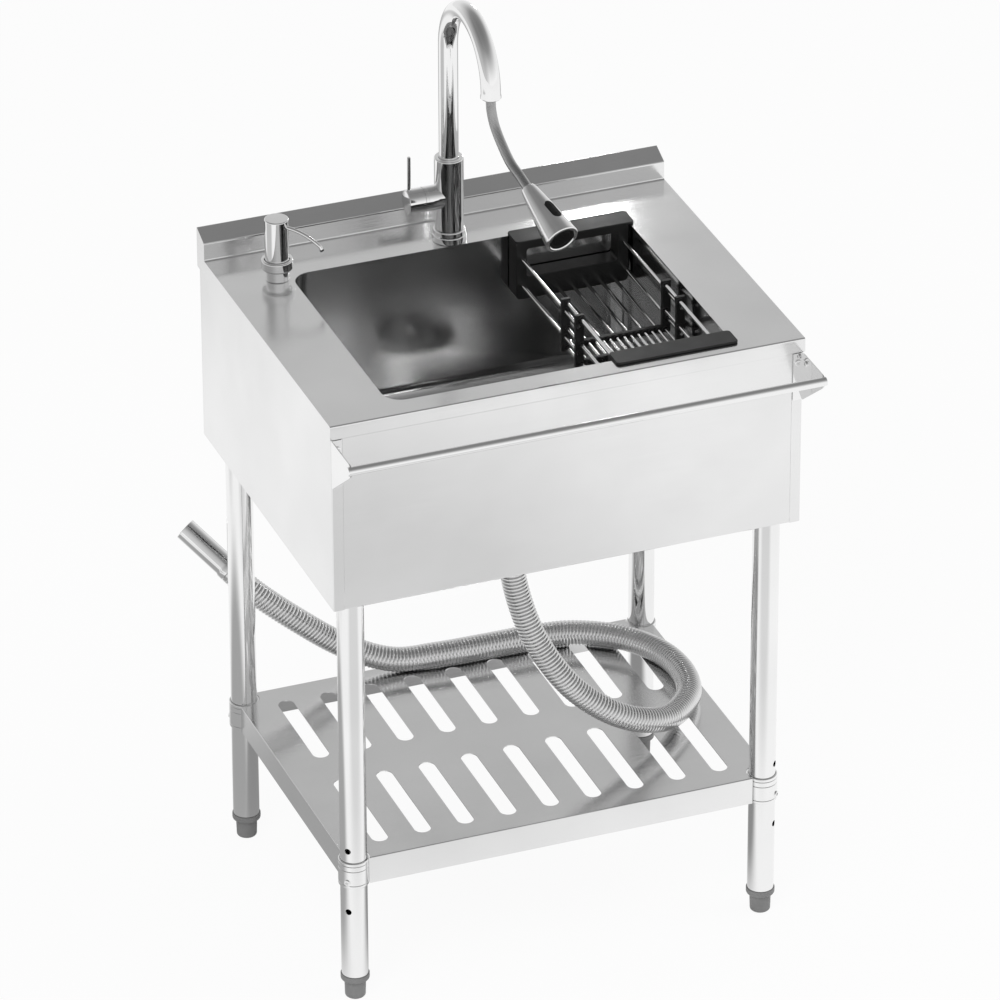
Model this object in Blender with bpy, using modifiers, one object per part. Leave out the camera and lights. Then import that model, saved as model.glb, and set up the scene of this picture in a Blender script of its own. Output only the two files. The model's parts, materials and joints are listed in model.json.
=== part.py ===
"""Free-standing stainless sink on four round legs.

It has a mixer tap with a pull-out spray, a soap pump, a telescopic dish rack, a towel bar,
a slotted shelf and a ribbed drain hose. Units are metres: X runs to the right, Y to the back
and Z up. The floor is Z = 0 and the origin is the middle of the footprint.
"""
import math

import bmesh
import bpy
from mathutils import Matrix, Quaternion, Vector

for leftover in list(bpy.data.objects):
    bpy.data.objects.remove(leftover, do_unlink=True)

# General
GAP = 0.0003
WELD = 0.00005
SHEET = 0.0012
EDGE_EASE = 0.0015
SHARP_ANGLE = math.radians(40)
MOST_EASE_SHARE = 0.45
LEAST_MITRE = 0.5

# Deck with backsplash
DECK_WIDTH = 0.600
DECK_DEPTH = 0.470
DECK_HEIGHT = 0.812
HEM_HEIGHT = 0.019
SPLASH_DEPTH = 0.026
SPLASH_RISE = 0.024
SPLASH_SLOPE_RISE = 0.011
DECK_EDGE_RADIUS = 0.002
DECK_SIDE_RADIUS = 0.0007

# Skirts under the deck
SKIRT_INSET = 0.002
SKIRT_DROP = 0.250
SKIRT_RETURN = 0.0135
SKIRT_LIP = 0.009
SKIRT_BEND_RADIUS = 0.002

# Bowl
BOWL_WIDTH = 0.432
BOWL_FRONT = 0.031
BOWL_REAR = 0.3726
BOWL_CORNER = 0.024
BOWL_DEPTH = 0.200
BOWL_FLANGE = 0.004
BOWL_SHEET = 0.001
BOWL_FILLET = 0.022
BOWL_FALL = 0.005
BOWL_LEAST_CORNER = 0.004
BOWL_STEPS = 4

# Drain in the middle of the bowl
DRAIN_HOLE_RADIUS = 0.046
DRAIN_SEAT_RADIUS = 0.060
DRAIN_LIP_RADIUS = 0.056
DRAIN_LIP_HEIGHT = 0.002
DRAIN_LIP_EDGE = 0.0008
DRAIN_CUP_RADIUS = 0.0445
DRAIN_CUP_DEPTH = 0.040
DRAIN_CONE_HEIGHT = 0.0126
DRAIN_TAIL_RADIUS = 0.0165
DRAIN_LENGTH = 0.062
DRAIN_WALL = 0.0015
GASKET_THICKNESS = 0.003
DRAIN_NUT_HEIGHT = 0.012
BASKET_RADIUS = 0.0405
BASKET_WALL = 0.0012
BASKET_RIM_DROP = 0.004
BASKET_STEM_RADIUS = 0.003
BASKET_KNOB_RADIUS = 0.006
BASKET_KNOB_HEIGHT = 0.004
BASKET_HOLES = 8
BASKET_HOLE_RADIUS = 0.005
BASKET_HOLE_CIRCLE = 0.0236

# Legs, sockets and feet
LEG_RADIUS = 0.0165
LEG_WALL = 0.0012
LEG_X = 0.267
LEG_FRONT = 0.0316
LEG_REAR = 0.4275
SOCKET_LENGTH = 0.060
SOCKET_PLATE_RADIUS = 0.027
SOCKET_PLATE = 0.002
RING_WALL = 0.002
FOOT_HEIGHT = 0.0245
FOOT_BOTTOM_RADIUS = 0.0127
FOOT_TOP_RADIUS = 0.0133
FOOT_EDGE_RADIUS = 0.003
FOOT_EDGE_STEPS = 2
FOOT_STEM_RADIUS = 0.005
FOOT_STEM_TOP = 0.058
INSERT_RADIUS = 0.0178
INSERT_HEIGHT = 0.0085
INSERT_CHAMFER = 0.002
INSERT_PLUG_TOP = 0.062
SHELF_HOLE_RADIUS = 0.004
SHELF_HOLE_PITCH = 0.043

# Shelf
SHELF_TOP = 0.198
SHELF_FLANGE = 0.036
SHELF_OVERHANG = 0.010
SHELF_SCREW_DROP = 0.027
SLOT_COUNT = 9
SLOT_PITCH = 0.0556
SLOT_RADIUS = 0.0105
SLOT_ROWS = ((0.052, 0.204), (0.260, 0.405))
SLOT_END_STEPS = 4

# Towel bar on two brackets
BAR_RADIUS = 0.0055
BAR_REACH = 0.067
BAR_HALF_LENGTH = 0.301
BAR_HEIGHT = 0.785
BRACKET_SHEET = 0.0015
BRACKET_TOP = 0.7925
BRACKET_BOTTOM = 0.730
BRACKET_EDGE_X = 0.2984
BRACKET_EASE = 0.004
BRACKET_NOSE = 0.009

# Mixer tap
TAP_X = -0.003
TAP_BACK = 0.392
TAP_BODY_RADIUS = 0.018
TAP_BODY_TOP = 0.924
TAP_RING_RADIUS = 0.021
TAP_RING_HEIGHT = 0.016
TAP_RING_BAND = 0.007
TAP_RING_STEP = 0.001
TAP_SHANK_RADIUS = 0.0115
TAP_SHANK_DROP = 0.060
TAP_HOLE_RADIUS = 0.0155
TAP_NUT_RADIUS = 0.0165
TAP_NUT_HEIGHT = 0.012
VALVE_HEIGHT = 0.872
VALVE_ROOT_X = -0.012
VALVE_RADIUS = 0.0155
VALVE_END_X = -0.060
VALVE_BALL_RADIUS = 0.017
VALVE_PIVOT_X = -0.045
CARTRIDGE_RADIUS = 0.0105
CARTRIDGE_END_X = -0.016
BALL_STEPS = 6
LEVER_X = -0.0545
LEVER_RADIUS = 0.0022
LEVER_TOP = 0.9325
LEVER_BOTTOM = 0.8813
SPOUT_RADIUS = 0.012
SPOUT_SEAT = 0.028
SPOUT_ARC_RADIUS = 0.0713
SPOUT_ARC_HEIGHT = 1.0745
SPOUT_ARC_STEPS = 16
SPOUT_OUTLET_HEIGHT = 1.069
SPOUT_MOUTH_RADIUS = 0.0092
SPOUT_MOUTH_DEPTH = 0.014

# Pull-out spray and its hose
SPRAY_HOSE_RADIUS = 0.006
SPRAY_HOSE_POINTS = 20
SPRAY_TAIL = (0.016, 0.177, 0.980)
SPRAY_AXIS = (0.1603, -0.9006, -0.4037)
SPRAY_ROLL = math.radians(10)
SPRAY_LENGTH = 0.085
SPRAY_TAIL_RADIUS = 0.0092
SPRAY_FRONT_RADIUS = 0.0213
SPRAY_CROWN = 0.0008
SPRAY_STATIONS = 4
SPRAY_RIM = 0.002
SPRAY_FACE_RADIUS = 0.0158
SPRAY_FACE_RECESS = 0.0014
SPRAY_FACE_CHAMFER = 0.001
SPRAY_FACE_THICKNESS = 0.004
BUTTON_LENGTH = 0.028
BUTTON_WIDTH = 0.0115
BUTTON_STATION = 0.0493
BUTTON_THICKNESS = 0.0035
BUTTON_PROUD = 0.0007
BUTTON_CLEARANCE = 0.0006
BUTTON_POCKET_DEPTH = 0.005
BUTTON_END_STEPS = 6

# Soap pump
SOAP_X = -0.232
SOAP_BACK = 0.371
SOAP_NECK_RADIUS = 0.014
SOAP_NECK_TOP = 0.826
SOAP_RING_RADIUS = 0.0195
SOAP_RING_TOP = 0.839
SOAP_WELL_RADIUS = 0.0154
SOAP_WELL_FLOOR = 0.8275
SOAP_THREAD_RADIUS = 0.0125
SOAP_THREAD_BOTTOM = 0.783
SOAP_NUT_RADIUS = 0.019
SOAP_NUT_HEIGHT = 0.010
SOAP_RING_EASE = 0.003
PUMP_STEM_RADIUS = 0.004
PUMP_STEM_TOP = 0.845
PUMP_STEM_BOTTOM = 0.655
PUMP_HEAD_RADIUS = 0.0148
PUMP_HEAD_BOTTOM = 0.838
PUMP_HEAD_TOP = 0.893
NOZZLE_RADIUS = 0.0023
NOZZLE_REACH = 0.058
NOZZLE_HEIGHT = 0.8835
NOZZLE_DROOP = 0.017
NOZZLE_BEND = 2.2
NOZZLE_ROOT = 0.0074
NOZZLE_STEPS = 8
NOZZLE_TIP_REACH = 0.002
NOZZLE_TIP_DROP = 0.005
BOTTLE_RADIUS = 0.030
BOTTLE_NECK_WALL = 0.0035
BOTTLE_NECK_LENGTH = 0.016
BOTTLE_SLOPE = (0.024, 0.6, 0.026)
BOTTLE_SHOULDER_DROP = 0.040
BOTTLE_HEEL = 0.004
BOTTLE_SHIFT = (-0.018, 0.004)
BOTTLE_BOTTOM = 0.640
BOTTLE_WALL = 0.0015

# Telescopic dish rack
RACK_LEFT = 0.0665
RACK_RIGHT = 0.2135
RACK_FLANGE_RIGHT = 0.2215
RACK_BOTTOM = 0.736
RACK_FLANGE_THICKNESS = 0.003
RACK_CLEARANCE = 0.0015
RACK_REAR_FACE = 0.3462
RACK_REAR_BACK = 0.3712
RACK_REAR_EDGE = 0.379
RACK_FRONT_EDGE = 0.0165
RACK_FRONT_FACE = 0.0325
RACK_FRONT_BACK = 0.047
RACK_UPRIGHT = 0.0138
RACK_PANEL_CORNER = 0.006
RACK_FLANGE_CORNER = 0.005
RACK_FLANGE_LAP = 0.001
RACK_WINDOW_BOTTOM = 0.766
RACK_WINDOW_TOP = 0.804
RACK_WINDOW_CORNER = 0.004
ROD_RADIUS = 0.0025
ROD_SEAT = 0.006
TIE_RADIUS = 0.0016
FLOOR_HEIGHT = 0.742
FLOOR_GAPS = 7
REAR_RAIL_INSET = 0.007
REAR_RAILS = (0.7926, 0.757)
FRONT_RAIL_INSET = 0.010
FRONT_RAILS = (0.802, 0.768)
SLIDER_INSET = 0.0028
SLIDER_DEPTH = 0.0055
SLIDER_WIDTH = 0.0112
SLIDER_FLOOR = 0.7374
SLIDER_FLOOR_TOP = 0.7466
SLIDER_TOP = 0.8075
SLIDER_HOLE_CLEARANCE = 0.0007
REAR_SLIDER_MIDDLE = 0.160
FRONT_SLIDER_MIDDLE = 0.205

# Drain hose: ribbed tube with a plain cuff on its free end
HOSE_RADIUS = 0.016
HOSE_VALLEY = 0.86
HOSE_BORE_RADIUS = 0.0112
HOSE_RIBS = 92
HOSE_PLAIN_END = 0.022
BORE_POINTS = 40
BORE_OVERRUN = 0.002
CUFF_RADIUS = 0.0145
CUFF_COLLAR_RADIUS = 0.0160
CUFF_WALL = 0.0016
CUFF_LENGTH = 0.078
CUFF_COLLAR_LENGTH = 0.008
CUFF_CONE_LENGTH = 0.003
HOSE_ROUTE = (
    (0.0000, 0.2018, 0.5447),
    (0.0000, 0.2018, 0.5050),
    (0.0053, 0.1934, 0.4300),
    (0.0242, 0.1716, 0.3600),
    (0.0622, 0.1461, 0.2997),
    (0.1207, 0.1340, 0.2536),
    (0.1874, 0.1522, 0.2246),
    (0.2395, 0.2051, 0.2150),
    (0.2563, 0.2600, 0.2150),
    (0.2485, 0.3192, 0.2150),
    (0.2164, 0.3696, 0.2150),
    (0.1660, 0.4017, 0.2150),
    (0.1150, 0.4110, 0.2150),
    (0.0500, 0.4125, 0.2150),
    (-0.0150, 0.4150, 0.2150),
    (-0.0720, 0.4230, 0.2160),
    (-0.1280, 0.4435, 0.2365),
    (-0.1841, 0.4600, 0.2767),
    (-0.2319, 0.4842, 0.3147),
    (-0.2538, 0.5064, 0.3371),
)
SPRAY_ROUTE = (
    (-0.0030, 0.2497, 1.0825),
    (-0.0030, 0.2497, 1.0640),
    (-0.0024, 0.2482, 1.0500),
    (-0.0005, 0.2420, 1.0334),
    (0.0030, 0.2282, 1.0154),
    (0.0075, 0.2120, 0.9985),
    (0.0131, 0.1932, 0.9873),
    (0.0159, 0.1775, 0.9802),
)

# Facet counts of round pieces, and steps of curves and eased corners
FINE = 20
ROUND = 16
SPOUT_SIDES = 14
SMALL = 12
SPRAY_HOSE_SIDES = 10
HOSE_SIDES = 8
TINY = 6
CURVE_STEPS = 24
CORNER_STEPS = 6
BEND_STEPS = 3
SOFT_STEPS = 2

# Worked out from the above
DECK_FRONT = (BAR_REACH - DECK_DEPTH) / 2
SPLASH_FACE = DECK_DEPTH - SPLASH_DEPTH
UNDER_DECK = DECK_HEIGHT - SHEET - GAP
SKIRT_BOTTOM = DECK_HEIGHT - SKIRT_DROP
BOWL_MIDDLE = (BOWL_FRONT + BOWL_REAR) / 2
BOWL_FLOOR = DECK_HEIGHT - BOWL_DEPTH
DRAIN_SEAT = BOWL_FLOOR - BOWL_FALL
SHELF_SCREW_HEIGHT = SHELF_TOP - SHELF_SCREW_DROP
COLLAR_INNER = LEG_RADIUS + GAP
COLLAR_OUTER = COLLAR_INNER + RING_WALL
LEG_SPOTS = {
    "front_left": (-LEG_X, LEG_FRONT),
    "front_right": (LEG_X, LEG_FRONT),
    "rear_left": (-LEG_X, LEG_REAR),
    "rear_right": (LEG_X, LEG_REAR),
}

# Planes for flat outlines: (y, z) points run along X, (x, z) points run along -Y
SIDE_PLANE = Matrix(((0, 0, 1, 0), (1, 0, 0, 0), (0, 1, 0, 0), (0, 0, 0, 1)))
FACE_PLANE = Matrix(((1, 0, 0, 0), (0, 0, -1, 0), (0, 1, 0, 0), (0, 0, 0, 1)))
PLAN_PLANE = Matrix.Identity(4)


def behind(distance):
    """World Y of a point this far behind the deck's front edge."""
    return DECK_FRONT + distance


def placed(point):
    """World position of (x, distance behind the deck's front edge, z)."""
    return Vector((point[0], behind(point[1]), point[2]))


def finish_material(name, colour, metallic, roughness):
    """Principled material of one finish."""
    made = bpy.data.materials.new(name)
    made.use_nodes = True
    shader = made.node_tree.nodes["Principled BSDF"]
    shader.inputs["Base Color"].default_value = (*colour, 1.0)
    shader.inputs["Metallic"].default_value = metallic
    shader.inputs["Roughness"].default_value = roughness
    return made


def new_collection(name):
    """Collection linked to the scene."""
    made = bpy.data.collections.new(name)
    bpy.context.scene.collection.children.link(made)
    return made


PARTS = new_collection("portable_handwash_sink")
CUTTERS = new_collection("cutters")
FINISHES = {
    "steel": finish_material("brushed_steel", (0.66, 0.66, 0.66), 1.0, 0.28),
    "polished": finish_material("polished_steel", (0.78, 0.78, 0.78), 1.0, 0.12),
    "bowl": finish_material("bowl_steel", (0.42, 0.42, 0.42), 1.0, 0.35),
    "chrome": finish_material("chrome", (0.85, 0.85, 0.86), 1.0, 0.06),
    "satin": finish_material("satin_nickel", (0.70, 0.70, 0.70), 1.0, 0.30),
    "black": finish_material("black_plastic", (0.02, 0.02, 0.02), 0.0, 0.45),
    "grey": finish_material("grey_plastic", (0.25, 0.25, 0.26), 0.0, 0.50),
    "rubber": finish_material("black_rubber", (0.015, 0.015, 0.015), 0.0, 0.70),
    "bottle": finish_material("bottle_plastic", (0.85, 0.86, 0.86), 0.0, 0.40),
    "hose": finish_material("grey_hose", (0.36, 0.36, 0.37), 0.2, 0.40),
}


def add_object(name, data, finish=None):
    """Link a part, or a cutter where no finish is given."""
    made = bpy.data.objects.new(name, data)
    if finish is None:
        CUTTERS.objects.link(made)
        made.hide_render = True
        made.display_type = "WIRE"
    else:
        PARTS.objects.link(made)
        data.materials.append(FINISHES[finish])
    return made


def welded_mesh(source):
    """Mesh of an object as evaluated, closed and facing out; the source object goes."""
    graph = bpy.context.evaluated_depsgraph_get()
    mesh = bpy.data.meshes.new_from_object(source.evaluated_get(graph))
    work = bmesh.new()
    work.from_mesh(mesh)
    bmesh.ops.remove_doubles(work, verts=work.verts, dist=WELD)
    bmesh.ops.recalc_face_normals(work, faces=work.faces)
    work.to_mesh(mesh)
    work.free()
    mesh.materials.clear()
    mesh.shade_smooth()
    mesh.set_sharp_from_angle(angle=SHARP_ANGLE)
    bpy.data.objects.remove(source)
    return mesh


def turned(name, profile, segments, finish=None, ring=False, place=PLAN_PLANE):
    """Profile of (radius, height) points spun about Z; a ring's profile closes on itself."""
    count = len(profile)
    edges = [(index, index + 1) for index in range(count - 1)]
    if ring:
        edges.append((count - 1, 0))
    outline = bpy.data.meshes.new(name + "_profile")
    outline.from_pydata([(radius, 0.0, height) for radius, height in profile], edges, [])
    blank = add_object(name + "_profile", outline)
    screw = blank.modifiers.new("turn", "SCREW")
    screw.steps = segments
    screw.render_steps = segments
    screw.use_merge_vertices = True
    screw.merge_threshold = WELD
    made = add_object(name, welded_mesh(blank), finish)
    made.matrix_world = place
    return made


def extruded(name, loops, depth, plane, middle=(0.0, 0.0, 0.0), finish=None):
    """Flat outline, with any inner loops as holes, given a thickness about its plane."""
    curve = bpy.data.curves.new(name + "_outline", "CURVE")
    curve.dimensions = "2D"
    curve.fill_mode = "BOTH"
    curve.extrude = depth / 2
    for loop in loops:
        spline = curve.splines.new("POLY")
        spline.points.add(len(loop) - 1)
        spline.use_cyclic_u = True
        for point, (across, along) in zip(spline.points, loop):
            point.co = (across, along, 0.0, 1.0)
    made = add_object(name, welded_mesh(add_object(name + "_outline", curve)), finish)
    made.matrix_world = Matrix.Translation(middle) @ plane
    return made


def pipe(name, points, radius, sides, finish=None, scales=None):
    """Tube of an even number of sides with filled ends along a polyline; scales vary its radius."""
    curve = bpy.data.curves.new(name + "_path", "CURVE")
    curve.dimensions = "3D"
    curve.bevel_depth = radius
    curve.bevel_resolution = sides // 2 - 2
    curve.use_fill_caps = True
    spline = curve.splines.new("POLY")
    spline.points.add(len(points) - 1)
    for index, point in enumerate(points):
        spline.points[index].co = (*point, 1.0)
        spline.points[index].radius = scales[index] if scales else 1.0
    return add_object(name, welded_mesh(add_object(name + "_path", curve)), finish)


def rods(name, ends, radius, sides, finish=None):
    """Separate straight round rods between pairs of points, as one mesh."""
    work = bmesh.new()
    for start, end in ends:
        span = Vector(end) - Vector(start)
        turn = span.to_track_quat("Z", "Y").to_matrix().to_4x4()
        spot = Matrix.Translation((Vector(start) + Vector(end)) / 2) @ turn
        bmesh.ops.create_cone(work, cap_ends=True, segments=sides, radius1=radius,
                              radius2=radius, depth=span.length, matrix=spot)
    mesh = bpy.data.meshes.new(name)
    work.to_mesh(mesh)
    work.free()
    mesh.shade_smooth()
    mesh.set_sharp_from_angle(angle=SHARP_ANGLE)
    return add_object(name, mesh, finish)


def lofted(name, rings, finish=None, caps=True):
    """Skin over rings of equal point counts, closed at both ends where caps is set."""
    work = bmesh.new()
    loops = []
    for ring in rings:
        corners = [work.verts.new(point) for point in ring]
        loops.append([work.edges.new((corners[i - 1], corners[i])) for i in range(len(corners))])
    for upper, lower in zip(loops, loops[1:]):
        bmesh.ops.bridge_loops(work, edges=upper + lower)
    if caps:
        bmesh.ops.holes_fill(work, edges=loops[0] + loops[-1], sides=0)
    bmesh.ops.recalc_face_normals(work, faces=work.faces)
    mesh = bpy.data.meshes.new(name)
    work.to_mesh(mesh)
    work.free()
    mesh.shade_smooth()
    mesh.set_sharp_from_angle(angle=SHARP_ANGLE)
    return add_object(name, mesh, finish)


def boolean(target, tool, operation):
    """Exact boolean on a part with a tool from the cutters."""
    step = target.modifiers.new(operation.lower(), "BOOLEAN")
    step.operation = operation
    step.solver = "EXACT"
    step.object = tool


def cut(target, tool):
    """Take the tool's shape out of a part."""
    boolean(target, tool, "DIFFERENCE")


def fuse(target, tool):
    """Add the tool's shape to a part."""
    boolean(target, tool, "UNION")


def soften_edges(part, width, wanted):
    """Round those edges of a part's mesh whose two ends satisfy a test on their position."""
    work = bmesh.new()
    work.from_mesh(part.data)
    place = part.matrix_world
    chosen = [edge for edge in work.edges
              if edge.calc_face_angle(0.0) > SHARP_ANGLE
              and all(wanted(place @ corner.co) for corner in edge.verts)]
    bmesh.ops.bevel(work, geom=chosen, offset=width, segments=SOFT_STEPS, affect="EDGES",
                    profile=0.5, clamp_overlap=True)
    work.to_mesh(part.data)
    work.free()


def circle(centre, radius, count):
    """Points round a circle."""
    turns = [2 * math.pi * index / count for index in range(count)]
    return [(centre[0] + radius * math.cos(a), centre[1] + radius * math.sin(a)) for a in turns]


def rounded_rectangle(low, high, radius, steps):
    """Rectangle outline with arcs at its corners, counter-clockwise from the right side."""
    points = []
    corners = ((high[0], high[1]), (low[0], high[1]), (low[0], low[1]), (high[0], low[1]))
    for quarter, (x, y) in enumerate(corners):
        centre_x = x - radius if x == high[0] else x + radius
        centre_y = y - radius if y == high[1] else y + radius
        for step in range(steps + 1):
            angle = (quarter + step / steps) * math.pi / 2
            points.append((centre_x + radius * math.cos(angle), centre_y + radius * math.sin(angle)))
    return points


def stadium(x, start, end, radius, steps):
    """Slot outline with round ends, running along Y."""
    points = []
    for centre, first in ((end - radius, 0.0), (start + radius, math.pi)):
        for step in range(steps + 1):
            angle = first + math.pi * step / steps
            points.append((x + radius * math.cos(angle), centre + radius * math.sin(angle)))
    return points


def rounded(points, radius, steps=BEND_STEPS, closed=True):
    """Polyline or polygon with each corner eased by a short curve."""
    count = len(points)
    eased = []
    for index, point in enumerate(points):
        if not closed and index in (0, count - 1):
            eased.append(point)
            continue
        corner = Vector(point)
        before = Vector(points[index - 1]) - corner
        after = Vector(points[(index + 1) % count]) - corner
        reach = min(radius, before.length * MOST_EASE_SHARE, after.length * MOST_EASE_SHARE)
        first = corner + before.normalized() * reach
        last = corner + after.normalized() * reach
        for step in range(steps + 1):
            t = step / steps
            eased.append(tuple((1 - t) ** 2 * first + 2 * t * (1 - t) * corner + t ** 2 * last))
    return eased


def strip(path, thickness):
    """Outline of a folded sheet that lies to the left of a polyline."""
    inner = []
    for index, point in enumerate(path):
        here = Vector(point)
        ahead = Vector(path[min(index + 1, len(path) - 1)]) - here
        behind_it = here - Vector(path[max(index - 1, 0)])
        sides = [Vector((-run.y, run.x)).normalized() for run in (behind_it, ahead) if run.length > 0]
        middle = sum(sides, Vector((0.0, 0.0))).normalized()
        inner.append(tuple(here + middle * thickness / max(middle.dot(sides[0]), LEAST_MITRE)))
    return list(path) + inner[::-1]


def smooth_route(points, count):
    """Evenly spaced points on a smooth curve through hand-set points."""
    spots = [Vector(point) for point in points]
    spots = [2 * spots[0] - spots[1]] + spots + [2 * spots[-1] - spots[-2]]
    fine = []
    for a, b, c, d in zip(spots, spots[1:], spots[2:], spots[3:]):
        for step in range(CURVE_STEPS):
            t = step / CURVE_STEPS
            fine.append(0.5 * (2 * b + (c - a) * t + (2 * a - 5 * b + 4 * c - d) * t ** 2
                               + (3 * b - a - 3 * c + d) * t ** 3))
    fine.append(spots[-2])
    travelled = [0.0]
    for first, second in zip(fine, fine[1:]):
        travelled.append(travelled[-1] + (second - first).length)
    spaced = []
    index = 0
    for step in range(count):
        goal = travelled[-1] * step / (count - 1)
        while index < len(fine) - 2 and travelled[index + 1] < goal:
            index += 1
        share = (goal - travelled[index]) / (travelled[index + 1] - travelled[index])
        spaced.append(fine[index].lerp(fine[index + 1], share))
    return spaced, travelled[-1]


def upright(x, distance, height=0.0):
    """Frame of a turned piece that stands at a spot on the deck plan."""
    return Matrix.Translation(placed((x, distance, height)))


def build_deck():
    """Folded top sheet with hems, backsplash, bowl opening and two tap holes."""
    low = DECK_HEIGHT - HEM_HEIGHT
    crest = DECK_HEIGHT + SPLASH_RISE
    peak = crest + SPLASH_SLOPE_RISE
    outline = [(0.0, low), (0.0, DECK_HEIGHT), (SPLASH_FACE, DECK_HEIGHT), (SPLASH_FACE, crest),
               (DECK_DEPTH, peak), (DECK_DEPTH, low)]
    folds = rounded([(behind(y), z) for y, z in outline], DECK_EDGE_RADIUS)
    deck = extruded("deck", [folds], DECK_WIDTH, SIDE_PLANE, finish="steel")
    side = DECK_WIDTH / 2 - GAP
    soften_edges(deck, DECK_SIDE_RADIUS, lambda at: abs(at.x) > side and at.z > low + DECK_EDGE_RADIUS)
    slope = math.atan2(SPLASH_SLOPE_RISE, SPLASH_DEPTH)
    rise = SHEET * math.tan(slope)
    drop = SHEET / math.cos(slope)
    under = DECK_HEIGHT - SHEET
    hollow = [(SHEET, low - HEM_HEIGHT), (SHEET, under), (SPLASH_FACE + SHEET, under),
              (SPLASH_FACE + SHEET, crest + rise - drop), (DECK_DEPTH - SHEET, peak - rise - drop),
              (DECK_DEPTH - SHEET, low - HEM_HEIGHT)]
    inside = extruded("deck_hollow", [[(behind(y), z) for y, z in hollow]],
                      DECK_WIDTH - 2 * SHEET, SIDE_PLANE)
    cut(deck, inside)
    half = BOWL_WIDTH / 2
    bowl_low = (-half, behind(BOWL_FRONT))
    bowl_high = (half, behind(BOWL_REAR))
    openings = [rounded_rectangle(bowl_low, bowl_high, BOWL_CORNER, CORNER_STEPS),
                circle((TAP_X, behind(TAP_BACK)), TAP_HOLE_RADIUS, ROUND),
                circle((SOAP_X, behind(SOAP_BACK)), SOAP_THREAD_RADIUS + GAP, ROUND)]
    cut(deck, extruded("deck_openings", openings, HEM_HEIGHT, PLAN_PLANE, (0.0, 0.0, DECK_HEIGHT)))


def build_skirts():
    """Side panels with folded corner returns, and front and rear panels with a lower lip."""
    top = UNDER_DECK
    middle = (top + SKIRT_BOTTOM) / 2
    near = behind(SKIRT_INSET)
    far = behind(DECK_DEPTH - SKIRT_INSET)
    outer = DECK_WIDTH / 2 - SKIRT_INSET
    inner = outer - SKIRT_RETURN
    for name, sign in (("left_skirt", -1), ("right_skirt", 1)):
        path = [(sign * inner, far), (sign * outer, far), (sign * outer, near), (sign * inner, near)]
        if sign > 0:
            path = path[::-1]
        bends = rounded(path, SKIRT_BEND_RADIUS, closed=False)
        extruded(name, [strip(bends, SHEET)], top - SKIRT_BOTTOM, PLAN_PLANE, (0.0, 0.0, middle), "steel")
    panel = 2 * (inner - GAP)
    front = [(near + SKIRT_LIP, SKIRT_BOTTOM), (near, SKIRT_BOTTOM), (near, top)]
    rear = [(far, top), (far, SKIRT_BOTTOM), (far - SKIRT_LIP, SKIRT_BOTTOM)]
    for name, path in (("front_skirt", front[::-1]), ("rear_skirt", rear[::-1])):
        bends = rounded(path, SKIRT_BEND_RADIUS, closed=False)
        extruded(name, [strip(bends, SHEET)], panel, SIDE_PLANE, finish="steel")


def build_bowl():
    """Pressed bowl: flange under the deck, straight walls, filleted floor falling to the drain."""
    wide = BOWL_WIDTH / 2 + GAP
    near = BOWL_FRONT - GAP
    far = BOWL_REAR + GAP

    def ring(inset, height):
        low = (-wide + inset, behind(near + inset))
        high = (wide - inset, behind(far - inset))
        radius = max(BOWL_CORNER - inset, BOWL_LEAST_CORNER)
        return [(x, y, height) for x, y in rounded_rectangle(low, high, radius, BOWL_STEPS)]

    def drain_ring(radius):
        count = 4 * (BOWL_STEPS + 1)
        turns = [math.pi * (2 * index + 1) / count for index in range(count)]
        middle = behind(BOWL_MIDDLE)
        return [(radius * math.cos(a), middle + radius * math.sin(a), DRAIN_SEAT) for a in turns]

    top = UNDER_DECK
    rings = [ring(-BOWL_FLANGE, top), ring(0.0, top)]
    for step in range(BOWL_STEPS + 1):
        angle = step / BOWL_STEPS * math.pi / 2
        inset = BOWL_FILLET * (1 - math.cos(angle))
        rings.append(ring(inset, BOWL_FLOOR + BOWL_FILLET * (1 - math.sin(angle))))
    rings += [drain_ring(DRAIN_SEAT_RADIUS), drain_ring(DRAIN_HOLE_RADIUS)]
    bowl = lofted("bowl", rings, "bowl", caps=False)
    shell = bowl.modifiers.new("sheet", "SOLIDIFY")
    shell.thickness = BOWL_SHEET
    shell.offset = -1.0
    shell.use_even_offset = True
    facing = sum((face.normal.z for face in bowl.data.polygons), 0.0)
    if facing < 0:
        bowl.data.flip_normals()


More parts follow.
